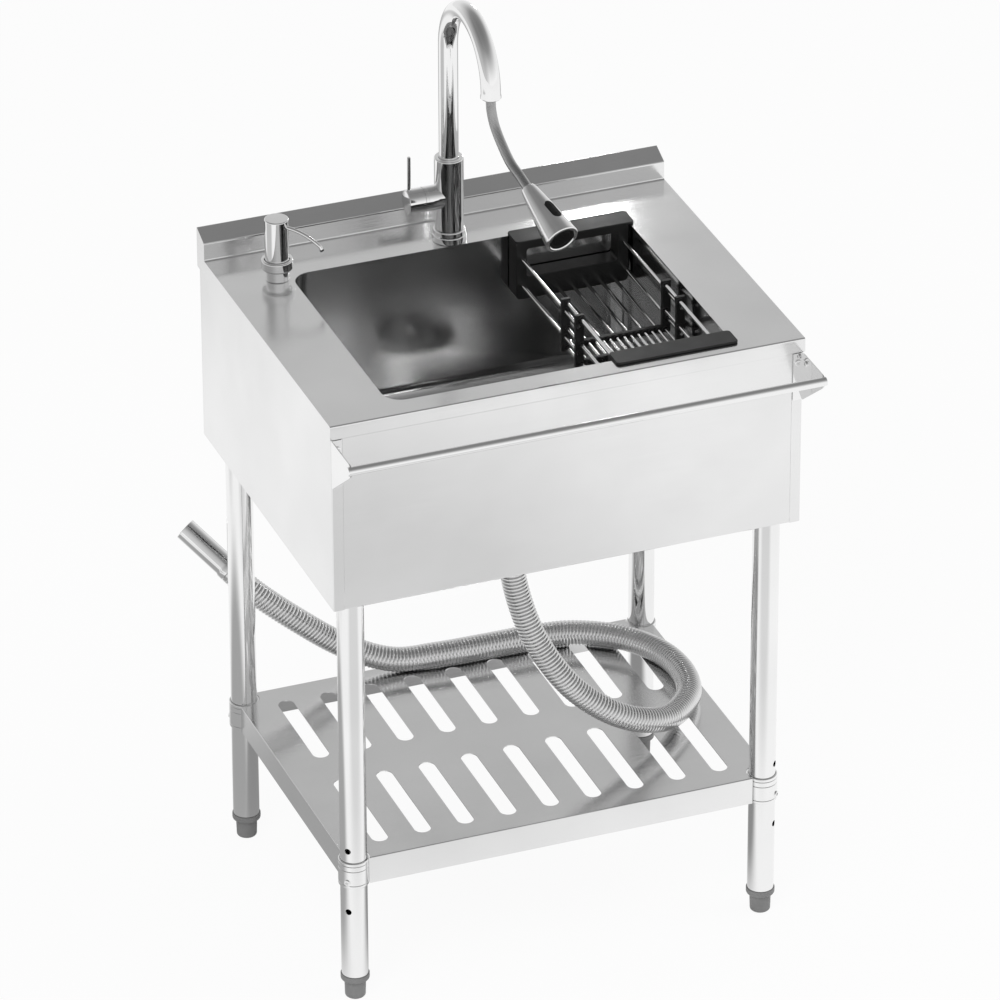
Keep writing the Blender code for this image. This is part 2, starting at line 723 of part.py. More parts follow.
def build_drain():
    """Strainer cup clamped to the bowl by a gasket and a ring nut, with a lift-out basket."""
    spot = upright(0.0, BOWL_MIDDLE)
    seat = DRAIN_SEAT + GAP
    cup = DRAIN_CUP_RADIUS
    tail = DRAIN_TAIL_RADIUS
    cup_floor = seat - DRAIN_CUP_DEPTH
    end = seat - DRAIN_LENGTH
    shoulder = cup_floor - DRAIN_CONE_HEIGHT
    profile = [(DRAIN_LIP_RADIUS, seat + DRAIN_LIP_EDGE), (DRAIN_LIP_RADIUS, seat), (cup, seat),
               (cup, cup_floor), (tail, shoulder), (tail, end), (tail - DRAIN_WALL, end),
               (tail - DRAIN_WALL, shoulder + DRAIN_WALL), (cup - DRAIN_WALL, cup_floor + DRAIN_WALL),
               (cup - DRAIN_WALL, seat + DRAIN_LIP_HEIGHT)]
    turned("drain_flange", profile, FINE, "polished", ring=True, place=spot)
    below = DRAIN_SEAT - BOWL_SHEET - GAP
    gasket_end = below - GASKET_THICKNESS
    gasket = [(DRAIN_LIP_RADIUS, below), (DRAIN_LIP_RADIUS, gasket_end),
              (cup + GAP, gasket_end), (cup + GAP, below)]
    turned("drain_gasket", gasket, FINE, "rubber", ring=True, place=spot)
    nut_top = gasket_end - GAP
    nut_end = nut_top - DRAIN_NUT_HEIGHT
    nut = [(DRAIN_SEAT_RADIUS, nut_top), (DRAIN_SEAT_RADIUS, nut_end),
           (cup + GAP, nut_end), (cup + GAP, nut_top)]
    turned("drain_nut", nut, FINE, "grey", ring=True, place=spot)
    base = cup_floor + DRAIN_WALL + 2 * GAP
    rim = seat - BASKET_RIM_DROP
    wall = BASKET_RADIUS - BASKET_WALL
    floor = base + BASKET_WALL
    knob_top = seat + BASKET_KNOB_HEIGHT
    basket = [(0.0, knob_top), (BASKET_KNOB_RADIUS, knob_top - EDGE_EASE), (BASKET_KNOB_RADIUS, seat),
              (BASKET_STEM_RADIUS, rim), (BASKET_STEM_RADIUS, floor), (wall, floor), (wall, rim),
              (BASKET_RADIUS, rim), (BASKET_RADIUS, base), (0.0, base)]
    strainer = turned("strainer_basket", basket, ROUND, "polished", place=spot)
    holes = []
    for x, y in circle((0.0, behind(BOWL_MIDDLE)), BASKET_HOLE_CIRCLE, BASKET_HOLES):
        holes.append(((x, y, base - BASKET_WALL), (x, y, floor + BASKET_WALL)))
    cut(strainer, rods("strainer_holes", holes, BASKET_HOLE_RADIUS, TINY))


def build_legs():
    """Round legs in sockets under the deck, each with an insert and a screw-out foot."""
    socket_top = UNDER_DECK
    sleeve_bottom = socket_top - SOCKET_PLATE - SOCKET_LENGTH
    leg_top = socket_top - SOCKET_PLATE - GAP
    leg_bottom = FOOT_HEIGHT + INSERT_HEIGHT + GAP
    inside = LEG_RADIUS - LEG_WALL
    for corner, (x, distance) in LEG_SPOTS.items():
        spot = upright(x, distance)
        socket = [(SOCKET_PLATE_RADIUS, socket_top), (SOCKET_PLATE_RADIUS, socket_top - SOCKET_PLATE),
                  (COLLAR_OUTER, socket_top - SOCKET_PLATE), (COLLAR_OUTER, sleeve_bottom),
                  (COLLAR_INNER, sleeve_bottom), (COLLAR_INNER, leg_top + GAP), (0.0, leg_top + GAP)]
        turned("leg_socket_" + corner, [(0.0, socket_top)] + socket, ROUND, "steel", place=spot)
        tube = [(LEG_RADIUS, leg_top), (LEG_RADIUS, leg_bottom), (inside, leg_bottom), (inside, leg_top)]
        leg = turned("leg_" + corner, tube, ROUND, "polished", ring=True, place=spot)
        out = Vector((math.copysign(1.0, x), 1.0 if distance == LEG_REAR else -1.0, 0.0)).normalized()
        holes = []
        for step in (-1, 0, 1):
            height = SHELF_SCREW_HEIGHT + step * SHELF_HOLE_PITCH
            start = placed((x, distance, height)) + out * inside / 2
            holes.append((start, start + out * LEG_RADIUS))
        cut(leg, rods("leg_holes_" + corner, holes, SHELF_HOLE_RADIUS, TINY))
        insert_top = FOOT_HEIGHT + INSERT_HEIGHT
        plug = inside - GAP
        bore = FOOT_STEM_RADIUS + GAP
        narrow = INSERT_RADIUS - INSERT_CHAMFER
        insert = [(plug, INSERT_PLUG_TOP), (plug, insert_top), (INSERT_RADIUS, insert_top),
                  (INSERT_RADIUS, FOOT_HEIGHT + 2 * INSERT_CHAMFER), (narrow, FOOT_HEIGHT),
                  (bore, FOOT_HEIGHT), (bore, INSERT_PLUG_TOP)]
        turned("foot_insert_" + corner, insert, ROUND, "grey", ring=True, place=spot)
        foot_top = FOOT_HEIGHT - GAP
        foot = [(0.0, FOOT_STEM_TOP), (FOOT_STEM_RADIUS, FOOT_STEM_TOP), (FOOT_STEM_RADIUS, foot_top),
                (FOOT_TOP_RADIUS, foot_top)]
        middle = FOOT_BOTTOM_RADIUS - FOOT_EDGE_RADIUS
        for step in range(FOOT_EDGE_STEPS + 1):
            angle = step / FOOT_EDGE_STEPS * math.pi / 2
            height = FOOT_EDGE_RADIUS * (1 - math.sin(angle))
            foot.append((middle + FOOT_EDGE_RADIUS * math.cos(angle), height))
        turned("levelling_foot_" + corner, foot + [(0.0, 0.0)], ROUND, "grey", place=spot)


def build_shelf():
    """Slotted tray with turned-down flanges, held to each leg by a screwed collar."""
    left = -LEG_X - SHELF_OVERHANG
    near = behind(LEG_FRONT - SHELF_OVERHANG)
    far = behind(LEG_REAR + SHELF_OVERHANG)
    low = SHELF_TOP - SHELF_FLANGE
    outline = [(near, low), (near, SHELF_TOP), (far, SHELF_TOP), (far, low)]
    shelf = extruded("shelf", [rounded(outline, DECK_EDGE_RADIUS)], -2 * left, SIDE_PLANE, finish="steel")
    hollow = [(near + SHEET, low - SHEET), (near + SHEET, SHELF_TOP - SHEET),
              (far - SHEET, SHELF_TOP - SHEET), (far - SHEET, low - SHEET)]
    cut(shelf, extruded("shelf_hollow", [hollow], -2 * (left + SHEET), SIDE_PLANE))
    slots = []
    for start, end in SLOT_ROWS:
        for index in range(SLOT_COUNT):
            x = (index - (SLOT_COUNT - 1) / 2) * SLOT_PITCH
            slots.append(stadium(x, behind(start), behind(end), SLOT_RADIUS, SLOT_END_STEPS))
    cut(shelf, extruded("shelf_slots", slots, SHELF_FLANGE / 2, PLAN_PLANE, (0.0, 0.0, SHELF_TOP)))
    notches = []
    for corner, (x, distance) in LEG_SPOTS.items():
        notches.append((placed((x, distance, low - SHEET)), placed((x, distance, SHELF_TOP + SHEET))))
        collar = [(COLLAR_OUTER, SHELF_TOP), (COLLAR_OUTER, low), (COLLAR_INNER, low),
                  (COLLAR_INNER, SHELF_TOP)]
        turned("shelf_collar_" + corner, collar, ROUND, "polished", ring=True, place=upright(x, distance))
    cut(shelf, rods("shelf_notches", notches, COLLAR_OUTER + 2 * GAP, ROUND))


def build_towel_bar():
    """Round bar through two angle brackets on the front corners."""
    bar_y = behind(BAR_RADIUS - BAR_REACH)
    bar_ends = [((-BAR_HALF_LENGTH, bar_y, BAR_HEIGHT), (BAR_HALF_LENGTH, bar_y, BAR_HEIGHT))]
    rods("towel_bar", bar_ends, BAR_RADIUS, SMALL, "polished")
    face = behind(SKIRT_INSET) - GAP
    flange_inner = DECK_WIDTH / 2 - SKIRT_INSET - SKIRT_RETURN + 2 * GAP
    root = face + BRACKET_SHEET
    tip = bar_y - BAR_RADIUS + GAP / 2
    gusset = [(root, BRACKET_TOP), (bar_y, BRACKET_TOP), (tip, BAR_HEIGHT),
              (bar_y, BAR_HEIGHT - BRACKET_NOSE), (face - 2 * BRACKET_SHEET, BRACKET_BOTTOM),
              (root, BRACKET_BOTTOM)]
    reach = bar_y - 2 * BAR_RADIUS
    for name, sign in (("towel_bracket_left", -1), ("towel_bracket_right", 1)):
        path = [(sign * flange_inner, face), (sign * BRACKET_EDGE_X, face), (sign * BRACKET_EDGE_X, reach)]
        middle = (0.0, 0.0, (BRACKET_TOP + BRACKET_BOTTOM) / 2)
        tall = 2 * (BRACKET_TOP - BRACKET_BOTTOM)
        bracket = extruded(name, [strip(path, -sign * BRACKET_SHEET)], tall, PLAN_PLANE, middle, "polished")
        outline = extruded(name + "_outline", [rounded(gusset, BRACKET_EASE)],
                           2 * SKIRT_RETURN + BRACKET_EASE, SIDE_PLANE,
                           (sign * (BRACKET_EDGE_X - SKIRT_RETURN / 2), 0.0, 0.0))
        boolean(bracket, outline, "INTERSECT")
        cut(bracket, rods(name + "_hole", bar_ends, BAR_RADIUS + GAP, SMALL))


def build_tap():
    """Mixer body with a side valve, a swivel spout and a lever cap on a ball seat."""
    spot = upright(TAP_X, TAP_BACK)
    base = DECK_HEIGHT + GAP
    ring_top = base + TAP_RING_HEIGHT
    bore = TAP_SHANK_RADIUS + GAP
    band = TAP_RING_RADIUS - TAP_RING_STEP
    band_low = ring_top - TAP_RING_BAND
    ring = [(band - EDGE_EASE, ring_top), (band, ring_top - EDGE_EASE), (band, band_low + TAP_RING_STEP),
            (TAP_RING_RADIUS, band_low), (TAP_RING_RADIUS, base), (bore, base), (bore, ring_top)]
    turned("faucet_base_ring", ring, FINE, "chrome", ring=True, place=spot)
    body_low = ring_top + GAP
    seat = TAP_BODY_TOP - SPOUT_SEAT
    lip = SPOUT_RADIUS + GAP
    body = [(0.0, seat), (lip, seat), (lip, TAP_BODY_TOP), (TAP_BODY_RADIUS - EDGE_EASE, TAP_BODY_TOP),
            (TAP_BODY_RADIUS, TAP_BODY_TOP - EDGE_EASE), (TAP_BODY_RADIUS, body_low), (0.0, body_low)]
    faucet = turned("faucet_body", body, FINE, "chrome", place=spot)
    axis_y = behind(TAP_BACK)
    seat_x = VALVE_PIVOT_X + math.sqrt(VALVE_BALL_RADIUS ** 2 - VALVE_RADIUS ** 2) + 2 * GAP
    housing = [((VALVE_ROOT_X, axis_y, VALVE_HEIGHT), (seat_x, axis_y, VALVE_HEIGHT))]
    fuse(faucet, rods("valve_housing", housing, VALVE_RADIUS, ROUND))
    along_x = Matrix.Translation((0.0, axis_y, VALVE_HEIGHT)) @ Matrix.Rotation(math.pi / 2, 4, "Y")
    ball = VALVE_BALL_RADIUS + GAP
    room = CARTRIDGE_RADIUS + GAP
    socket = []
    widest = math.asin(room / ball)
    for step in range(BALL_STEPS + 1):
        angle = widest + (math.pi / 2 - widest) * step / BALL_STEPS
        socket.append((ball * math.sin(angle), VALVE_PIVOT_X + ball * math.cos(angle)))
    socket_cut = [(0.0, CARTRIDGE_END_X), (room, CARTRIDGE_END_X)] + socket + [(0.0, VALVE_PIVOT_X)]
    cut(faucet, turned("valve_socket", socket_cut, FINE, place=along_x))
    shank = [(0.0, body_low - GAP), (TAP_SHANK_RADIUS, body_low - GAP),
             (TAP_SHANK_RADIUS, DECK_HEIGHT - TAP_SHANK_DROP), (0.0, DECK_HEIGHT - TAP_SHANK_DROP)]
    turned("faucet_shank", shank, SMALL, "satin", place=spot)
    nut_top = UNDER_DECK - BOWL_SHEET - 2 * GAP
    nut = [(TAP_NUT_RADIUS, nut_top), (TAP_NUT_RADIUS, nut_top - TAP_NUT_HEIGHT),
           (bore, nut_top - TAP_NUT_HEIGHT), (bore, nut_top)]
    turned("faucet_nut", nut, SMALL, "satin", ring=True, place=spot)
    ball_tip = VALVE_PIVOT_X + VALVE_BALL_RADIUS
    cartridge = [(0.0, CARTRIDGE_END_X - GAP), (CARTRIDGE_RADIUS, CARTRIDGE_END_X - GAP),
                 (CARTRIDGE_RADIUS, ball_tip + GAP), (0.0, ball_tip + GAP)]
    turned("valve_cartridge", cartridge, SMALL, "satin", place=along_x)
    cap = []
    edge = math.asin(VALVE_RADIUS / VALVE_BALL_RADIUS)
    for step in range(BALL_STEPS + 1):
        angle = edge * step / BALL_STEPS
        cap.append((VALVE_BALL_RADIUS * math.sin(angle), VALVE_PIVOT_X + VALVE_BALL_RADIUS * math.cos(angle)))
    cap += [(VALVE_RADIUS, VALVE_END_X + EDGE_EASE), (VALVE_RADIUS - EDGE_EASE, VALVE_END_X),
            (0.0, VALVE_END_X)]
    handle = turned("faucet_handle", cap, FINE, "chrome", place=along_x)
    lever = [((LEVER_X, axis_y, LEVER_BOTTOM), (LEVER_X, axis_y, LEVER_TOP))]
    rods("handle_lever", lever, LEVER_RADIUS, SMALL, "chrome")
    hole = [((LEVER_X, axis_y, LEVER_BOTTOM - GAP), (LEVER_X, axis_y, LEVER_TOP))]
    cut(handle, rods("lever_hole", hole, LEVER_RADIUS + GAP, SMALL))


def build_spout():
    """Gooseneck pipe seated in the mixer body, with a mouth that the spray hose leaves by."""
    near = TAP_BACK - 2 * SPOUT_ARC_RADIUS
    foot = TAP_BODY_TOP - SPOUT_SEAT + GAP
    points = [placed((TAP_X, TAP_BACK, foot)), placed((TAP_X, TAP_BACK, TAP_BODY_TOP))]
    for step in range(SPOUT_ARC_STEPS + 1):
        angle = math.pi * step / SPOUT_ARC_STEPS
        along = TAP_BACK - SPOUT_ARC_RADIUS * (1 - math.cos(angle))
        points.append(placed((TAP_X, along, SPOUT_ARC_HEIGHT + SPOUT_ARC_RADIUS * math.sin(angle))))
    points.append(placed((TAP_X, near, SPOUT_OUTLET_HEIGHT)))
    spout = pipe("faucet_spout", points, SPOUT_RADIUS, SPOUT_SIDES, "chrome")
    mouth = [(placed((TAP_X, near, SPOUT_OUTLET_HEIGHT + SPOUT_MOUTH_DEPTH)),
              placed((TAP_X, near, SPOUT_OUTLET_HEIGHT - SPOUT_MOUTH_DEPTH)))]
    cut(spout, rods("spout_mouth", mouth, SPOUT_MOUTH_RADIUS, SMALL))


def spray_frame():
    """Frame on the spray's tail: Z back along the hose, X towards the button."""
    back = -Vector(SPRAY_AXIS).normalized()
    up = (Vector((0.0, 0.0, 1.0)) - back * back.z).normalized()
    up.rotate(Quaternion(back, SPRAY_ROLL))
    turn = Matrix((up, back.cross(up), back)).transposed().to_4x4()
    return Matrix.Translation(placed(SPRAY_TAIL)) @ turn


def spray_radius(station):
    """Outer radius of the spray body at a distance from its tail: a cone with a slight crown."""
    share = station / SPRAY_LENGTH
    cone = SPRAY_TAIL_RADIUS + (SPRAY_FRONT_RADIUS - SPRAY_TAIL_RADIUS) * share
    return cone + 4 * SPRAY_CROWN * share * (1 - share)


def spray_outline(proud):
    """Turned outline of the spray body from its tail to its rim, proud of it by a little."""
    tail = SPRAY_TAIL_RADIUS + proud
    outline = [(0.0, -GAP), (tail - EDGE_EASE, -GAP), (tail, -EDGE_EASE)]
    for step in range(1, SPRAY_STATIONS):
        station = SPRAY_LENGTH * step / SPRAY_STATIONS
        outline.append((spray_radius(station) + proud, -station))
    return outline + [(SPRAY_FRONT_RADIUS + proud, -SPRAY_LENGTH + SPRAY_RIM)]


def build_spray():
    """Tapered spray body with a nozzle face in a bevelled rim and a rocker in a pocket on top."""
    frame = spray_frame()
    recess = SPRAY_FACE_RADIUS + GAP
    pocket = SPRAY_LENGTH - SPRAY_FACE_RECESS - SPRAY_FACE_THICKNESS - GAP
    rim = [(SPRAY_FRONT_RADIUS - SPRAY_RIM, -SPRAY_LENGTH), (recess + SPRAY_FACE_CHAMFER, -SPRAY_LENGTH),
           (recess, -SPRAY_LENGTH + SPRAY_FACE_CHAMFER), (recess, -pocket), (0.0, -pocket)]
    head = turned("spray_head", spray_outline(0.0) + rim, FINE, "satin", place=frame)
    face_back = -pocket - GAP
    face_front = face_back - SPRAY_FACE_THICKNESS
    face = [(0.0, face_back), (SPRAY_FACE_RADIUS, face_back), (SPRAY_FACE_RADIUS, face_front),
            (0.0, face_front)]
    turned("spray_face", face, FINE, "rubber", place=frame)
    reach = BUTTON_LENGTH / 2
    climb = spray_radius(BUTTON_STATION + reach) - spray_radius(BUTTON_STATION - reach)
    lean = Matrix.Rotation(math.atan2(climb, BUTTON_LENGTH), 4, "Y")
    seat = frame @ Matrix.Translation((spray_radius(BUTTON_STATION), 0.0, -BUTTON_STATION)) @ lean
    wide = BUTTON_WIDTH / 2
    shape = stadium(0.0, -reach, reach, wide, BUTTON_END_STEPS)
    button = extruded("spray_button", [shape], BUTTON_THICKNESS, PLAN_PLANE, finish="black")
    sunk = Matrix.Translation((BUTTON_PROUD - BUTTON_THICKNESS / 2, 0.0, 0.0))
    button.matrix_world = seat @ sunk @ SIDE_PLANE
    crown = spray_outline(BUTTON_PROUD) + [(0.0, -SPRAY_LENGTH)]
    boolean(button, turned("button_crown", crown, FINE, place=frame), "INTERSECT")
    room = stadium(0.0, -reach - BUTTON_CLEARANCE, reach + BUTTON_CLEARANCE, wide + BUTTON_CLEARANCE,
                   BUTTON_END_STEPS)
    hollow = extruded("button_pocket", [room], 2 * BUTTON_POCKET_DEPTH, PLAN_PLANE)
    hollow.matrix_world = seat @ SIDE_PLANE
    cut(head, hollow)


def build_soap_pump():
    """Collar through the deck with its nut, a bottle below and a pressing, turning pump head."""
    spot = upright(SOAP_X, SOAP_BACK)
    base = DECK_HEIGHT + GAP
    bore = PUMP_STEM_RADIUS + GAP
    collar = [(SOAP_RING_RADIUS - EDGE_EASE, SOAP_RING_TOP),
              (SOAP_RING_RADIUS, SOAP_RING_TOP - SOAP_RING_EASE),
              (SOAP_RING_RADIUS, SOAP_NECK_TOP + SOAP_RING_EASE), (SOAP_NECK_RADIUS, SOAP_NECK_TOP),
              (SOAP_NECK_RADIUS, base), (SOAP_THREAD_RADIUS, base), (SOAP_THREAD_RADIUS, SOAP_THREAD_BOTTOM),
              (bore, SOAP_THREAD_BOTTOM), (bore, SOAP_WELL_FLOOR), (SOAP_WELL_RADIUS, SOAP_WELL_FLOOR),
              (SOAP_WELL_RADIUS, SOAP_RING_TOP)]
    turned("soap_collar", collar, ROUND, "chrome", ring=True, place=spot)
    nut_top = UNDER_DECK - BOWL_SHEET - 2 * GAP
    nut = [(SOAP_NUT_RADIUS, nut_top), (SOAP_NUT_RADIUS, nut_top - SOAP_NUT_HEIGHT),
           (SOAP_THREAD_RADIUS + GAP, nut_top - SOAP_NUT_HEIGHT), (SOAP_THREAD_RADIUS + GAP, nut_top)]
    turned("soap_nut", nut, ROUND, "grey", ring=True, place=spot)
    stem = [(0.0, PUMP_STEM_TOP), (PUMP_STEM_RADIUS, PUMP_STEM_TOP), (PUMP_STEM_RADIUS, PUMP_STEM_BOTTOM),
            (0.0, PUMP_STEM_BOTTOM)]
    turned("pump_stem", stem, SMALL, "grey", place=spot)
    head = [(0.0, PUMP_HEAD_TOP), (PUMP_HEAD_RADIUS - EDGE_EASE, PUMP_HEAD_TOP),
            (PUMP_HEAD_RADIUS, PUMP_HEAD_TOP - EDGE_EASE), (PUMP_HEAD_RADIUS, PUMP_HEAD_BOTTOM),
            (bore, PUMP_HEAD_BOTTOM), (bore, PUMP_STEM_TOP + GAP), (0.0, PUMP_STEM_TOP + GAP)]
    pump = turned("pump_head", head, ROUND, "chrome", place=spot)
    heading = Vector((1.0, -1.0, 0.0)).normalized()
    root = placed((SOAP_X, SOAP_BACK, NOZZLE_HEIGHT))
    points = []
    for step in range(NOZZLE_STEPS + 1):
        share = step / NOZZLE_STEPS
        reach = NOZZLE_ROOT + (NOZZLE_REACH - NOZZLE_ROOT) * share
        points.append(root + heading * reach - Vector((0.0, 0.0, NOZZLE_DROOP * share ** NOZZLE_BEND)))
    points.append(points[-1] + heading * NOZZLE_TIP_REACH - Vector((0.0, 0.0, NOZZLE_TIP_DROP)))
    fuse(pump, pipe("pump_nozzle", points, NOZZLE_RADIUS, HOSE_SIDES))
    build_bottle()


def build_bottle():
    """Bottle hung on the collar's thread, its body set clear of the bowl and the leg."""
    shift = Vector(BOTTLE_SHIFT)
    neck_top = UNDER_DECK - BOWL_SHEET - SOAP_NUT_HEIGHT - 6 * GAP
    neck = SOAP_THREAD_RADIUS + GAP
    slope_radius, slope_share, slope_drop = BOTTLE_SLOPE
    heel = BOTTLE_RADIUS - BOTTLE_HEEL
    sections = [(neck + BOTTLE_NECK_WALL, 0.0, neck_top),
                (neck + BOTTLE_NECK_WALL, 0.0, neck_top - BOTTLE_NECK_LENGTH),
                (slope_radius, slope_share, neck_top - slope_drop),
                (BOTTLE_RADIUS, 1.0, neck_top - BOTTLE_SHOULDER_DROP),
                (BOTTLE_RADIUS, 1.0, BOTTLE_BOTTOM + BOTTLE_HEEL), (heel, 1.0, BOTTLE_BOTTOM)]

    def ring(radius, share, height):
        middle = Vector((SOAP_X, behind(SOAP_BACK))) + shift * share
        return [(x, y, height) for x, y in circle(middle, radius, ROUND)]

    bottle = lofted("soap_bottle", [ring(*section) for section in sections], "bottle")
    inner = [ring(neck, 0.0, neck_top + BOTTLE_WALL)]
    for radius, share, height in sections[1:-1]:
        inner.append(ring(max(radius - BOTTLE_WALL, neck), share, height))
    inner.append(ring(heel - BOTTLE_WALL, 1.0, BOTTLE_BOTTOM + BOTTLE_WALL))
    cut(bottle, lofted("bottle_hollow", inner))


def rack_rods():
    """(x, z) of the rear half's rods and of the front half's: each one's floor, then its side rails."""
    first = RACK_LEFT + FRONT_RAIL_INSET
    pitch = (RACK_RIGHT - FRONT_RAIL_INSET - first) / FLOOR_GAPS
    front = [(first + pitch * index, FLOOR_HEIGHT) for index in range(FLOOR_GAPS + 1)]
    rear = [(x + pitch / 2, z) for x, z in front[:-1]]
    rear += [(x, z) for x in rack_sides(REAR_RAIL_INSET) for z in REAR_RAILS]
    front += [(x, z) for x in rack_sides(FRONT_RAIL_INSET) for z in FRONT_RAILS]
    return rear, front


def rack_sides(inset):
    """X on the left and right sides of the rack, a little in from its edges."""
    return RACK_LEFT + inset, RACK_RIGHT - inset


def rack_frame(name, face, back, edge):
    """Black end frame: a windowed panel that hangs in the bowl, under a flange on its rim."""
    top = DECK_HEIGHT + GAP + RACK_FLANGE_THICKNESS
    panel_top = top - RACK_FLANGE_LAP
    panel = rounded_rectangle((RACK_LEFT, RACK_BOTTOM), (RACK_RIGHT, panel_top), RACK_PANEL_CORNER,
                              BEND_STEPS)
    left, right = rack_sides(RACK_UPRIGHT)
    window = rounded_rectangle((left, RACK_WINDOW_BOTTOM), (right, RACK_WINDOW_TOP), RACK_WINDOW_CORNER,
                               SOFT_STEPS)
    middle = (0.0, behind((face + back) / 2), 0.0)
    frame = extruded(name, [panel, window], abs(back - face), FACE_PLANE, middle, "black")
    half = BOWL_WIDTH / 2 - RACK_CLEARANCE
    room_low = (-half, behind(BOWL_FRONT + RACK_CLEARANCE))
    room_high = (half, behind(BOWL_REAR - RACK_CLEARANCE))
    room = rounded_rectangle(room_low, room_high, BOWL_CORNER, BOWL_STEPS)
    inside = extruded(name + "_room", [room], BOWL_DEPTH, PLAN_PLANE, (0.0, 0.0, RACK_BOTTOM))
    boolean(frame, inside, "INTERSECT")
    near, far = sorted((behind(face), behind(edge)))
    flange = rounded_rectangle((RACK_LEFT, near), (RACK_FLANGE_RIGHT, far), RACK_FLANGE_CORNER, BEND_STEPS)
    fuse(frame, extruded(name + "_flange", [flange], RACK_FLANGE_THICKNESS, PLAN_PLANE,
                         (0.0, 0.0, top - RACK_FLANGE_THICKNESS / 2)))
    return frame


def rack_half(name, frame, spots, rails, frame_face, free_end):
    """Floor rods and side rails of one half, seated in the end frame and tied by a wire inside it."""
    inward = math.copysign(1.0, free_end - frame_face)
    seat = frame_face - inward * ROD_SEAT
    made = rods(name, [(placed((x, seat, z)), placed((x, free_end, z))) for x, z in spots],
                ROD_RADIUS, TINY, "polished")
    left, right = rails
    top = max(z for _, z in spots)
    tie = [(left, top), (left, FLOOR_HEIGHT), (right, FLOOR_HEIGHT), (right, top)]
    wire = [placed((x, frame_face - inward * ROD_SEAT / 2, z)) for x, z in tie]
    fuse(made, pipe(name + "_tie", wire, TIE_RADIUS, TINY))
    deep = seat - inward * GAP
    open_end = frame_face + inward * GAP
    sockets = [(placed((x, deep, z)), placed((x, open_end, z))) for x, z in spots]
    cut(frame, rods(name + "_sockets", sockets, ROD_RADIUS + GAP, TINY))
    cut(frame, pipe(name + "_channel", wire, TIE_RADIUS + GAP, TINY))


def rack_slider(name, middle, spots):
    """U-shaped slider in which both halves' rods run."""
    left, right = rack_sides(SLIDER_INSET)
    arm_left = left + SLIDER_WIDTH
    arm_right = right - SLIDER_WIDTH
    outline = [(left, SLIDER_FLOOR), (right, SLIDER_FLOOR), (right, SLIDER_TOP), (arm_right, SLIDER_TOP),
               (arm_right, SLIDER_FLOOR_TOP), (arm_left, SLIDER_FLOOR_TOP), (arm_left, SLIDER_TOP),
               (left, SLIDER_TOP)]
    holes = [circle(spot, ROD_RADIUS + SLIDER_HOLE_CLEARANCE, TINY) for spot in spots]
    extruded(name, [rounded(outline, EDGE_EASE, 1)] + holes, SLIDER_DEPTH, FACE_PLANE,
             (0.0, behind(middle), 0.0), "black")


def build_rack():
    """Two telescoping halves of frame, rods and slider, hung across the bowl."""
    rear_spots, front_spots = rack_rods()
    rear = rack_frame("rack_rear_frame", RACK_REAR_FACE, RACK_REAR_BACK, RACK_REAR_EDGE)
    front = rack_frame("rack_front_frame", RACK_FRONT_BACK, RACK_FRONT_FACE, RACK_FRONT_EDGE)
    rear_end = REAR_SLIDER_MIDDLE - SLIDER_DEPTH / 2
    front_end = FRONT_SLIDER_MIDDLE + SLIDER_DEPTH / 2
    rack_half("rack_rear_rods", rear, rear_spots, rack_sides(REAR_RAIL_INSET), RACK_REAR_FACE, rear_end)
    rack_half("rack_front_rods", front, front_spots, rack_sides(FRONT_RAIL_INSET), RACK_FRONT_BACK, front_end)
    rack_slider("rack_rear_slider", REAR_SLIDER_MIDDLE, rear_spots + front_spots)
    rack_slider("rack_front_slider", FRONT_SLIDER_MIDDLE, rear_spots + front_spots)


def build_spray_hose():
    """Smooth hose from the spout's mouth to the spray's tail."""
    route, length = smooth_route([placed(point) for point in SPRAY_ROUTE], SPRAY_HOSE_POINTS)
    pipe("spray_hose", route, SPRAY_HOSE_RADIUS, SPRAY_HOSE_SIDES, "hose")
    print("spray hose length", round(length, 4))


def build_drain_hose():
    """Ribbed tube with its bore, from the drain's tail to a plain open cuff."""
    stations = [placed(point) for point in HOSE_ROUTE]
    count = 2 * HOSE_RIBS
    route, length = smooth_route(stations, count)
    plain_ends = round(HOSE_PLAIN_END / length * count)
    scales = [1.0 if index % 2 else HOSE_VALLEY for index in range(count)]
    for index in range(plain_ends):
        scales[index] = 1.0
        scales[-1 - index] = 1.0
    hose = pipe("drain_hose", route, HOSE_RADIUS, HOSE_SIDES, "chrome", scales)
    plain, _ = smooth_route(stations, BORE_POINTS)
    backward = (plain[0] - plain[1]).normalized()
    heading = (plain[-1] - plain[-2]).normalized()
    bore_path = [plain[0] + backward * BORE_OVERRUN] + plain + [plain[-1] + heading * BORE_OVERRUN]
    cut(hose, pipe("drain_bore", bore_path, HOSE_BORE_RADIUS, TINY))
    print("drain hose length", round(length, 4))
    collar = CUFF_COLLAR_LENGTH
    bore = CUFF_RADIUS - CUFF_WALL
    start = 2 * GAP
    profile = [(CUFF_RADIUS, CUFF_LENGTH), (CUFF_RADIUS, collar + CUFF_CONE_LENGTH),
               (CUFF_COLLAR_RADIUS, collar), (CUFF_COLLAR_RADIUS, start), (bore, start), (bore, CUFF_LENGTH)]
    turn = heading.to_track_quat("Z", "Y").to_matrix().to_4x4()
    turned("hose_cuff", profile, ROUND, "chrome", ring=True, place=Matrix.Translation(plain[-1]) @ turn)


def hang_on(pivot_name, position, part_names):
    """Parent parts to an empty on the axis they move about, keeping them in place."""
    pivot = bpy.data.objects.new(pivot_name, None)
    PARTS.objects.link(pivot)
    pivot.location = position
    for name in part_names:
        part = bpy.data.objects[name]
        part.parent = pivot
        part.matrix_parent_inverse = Matrix.Translation(position).inverted()


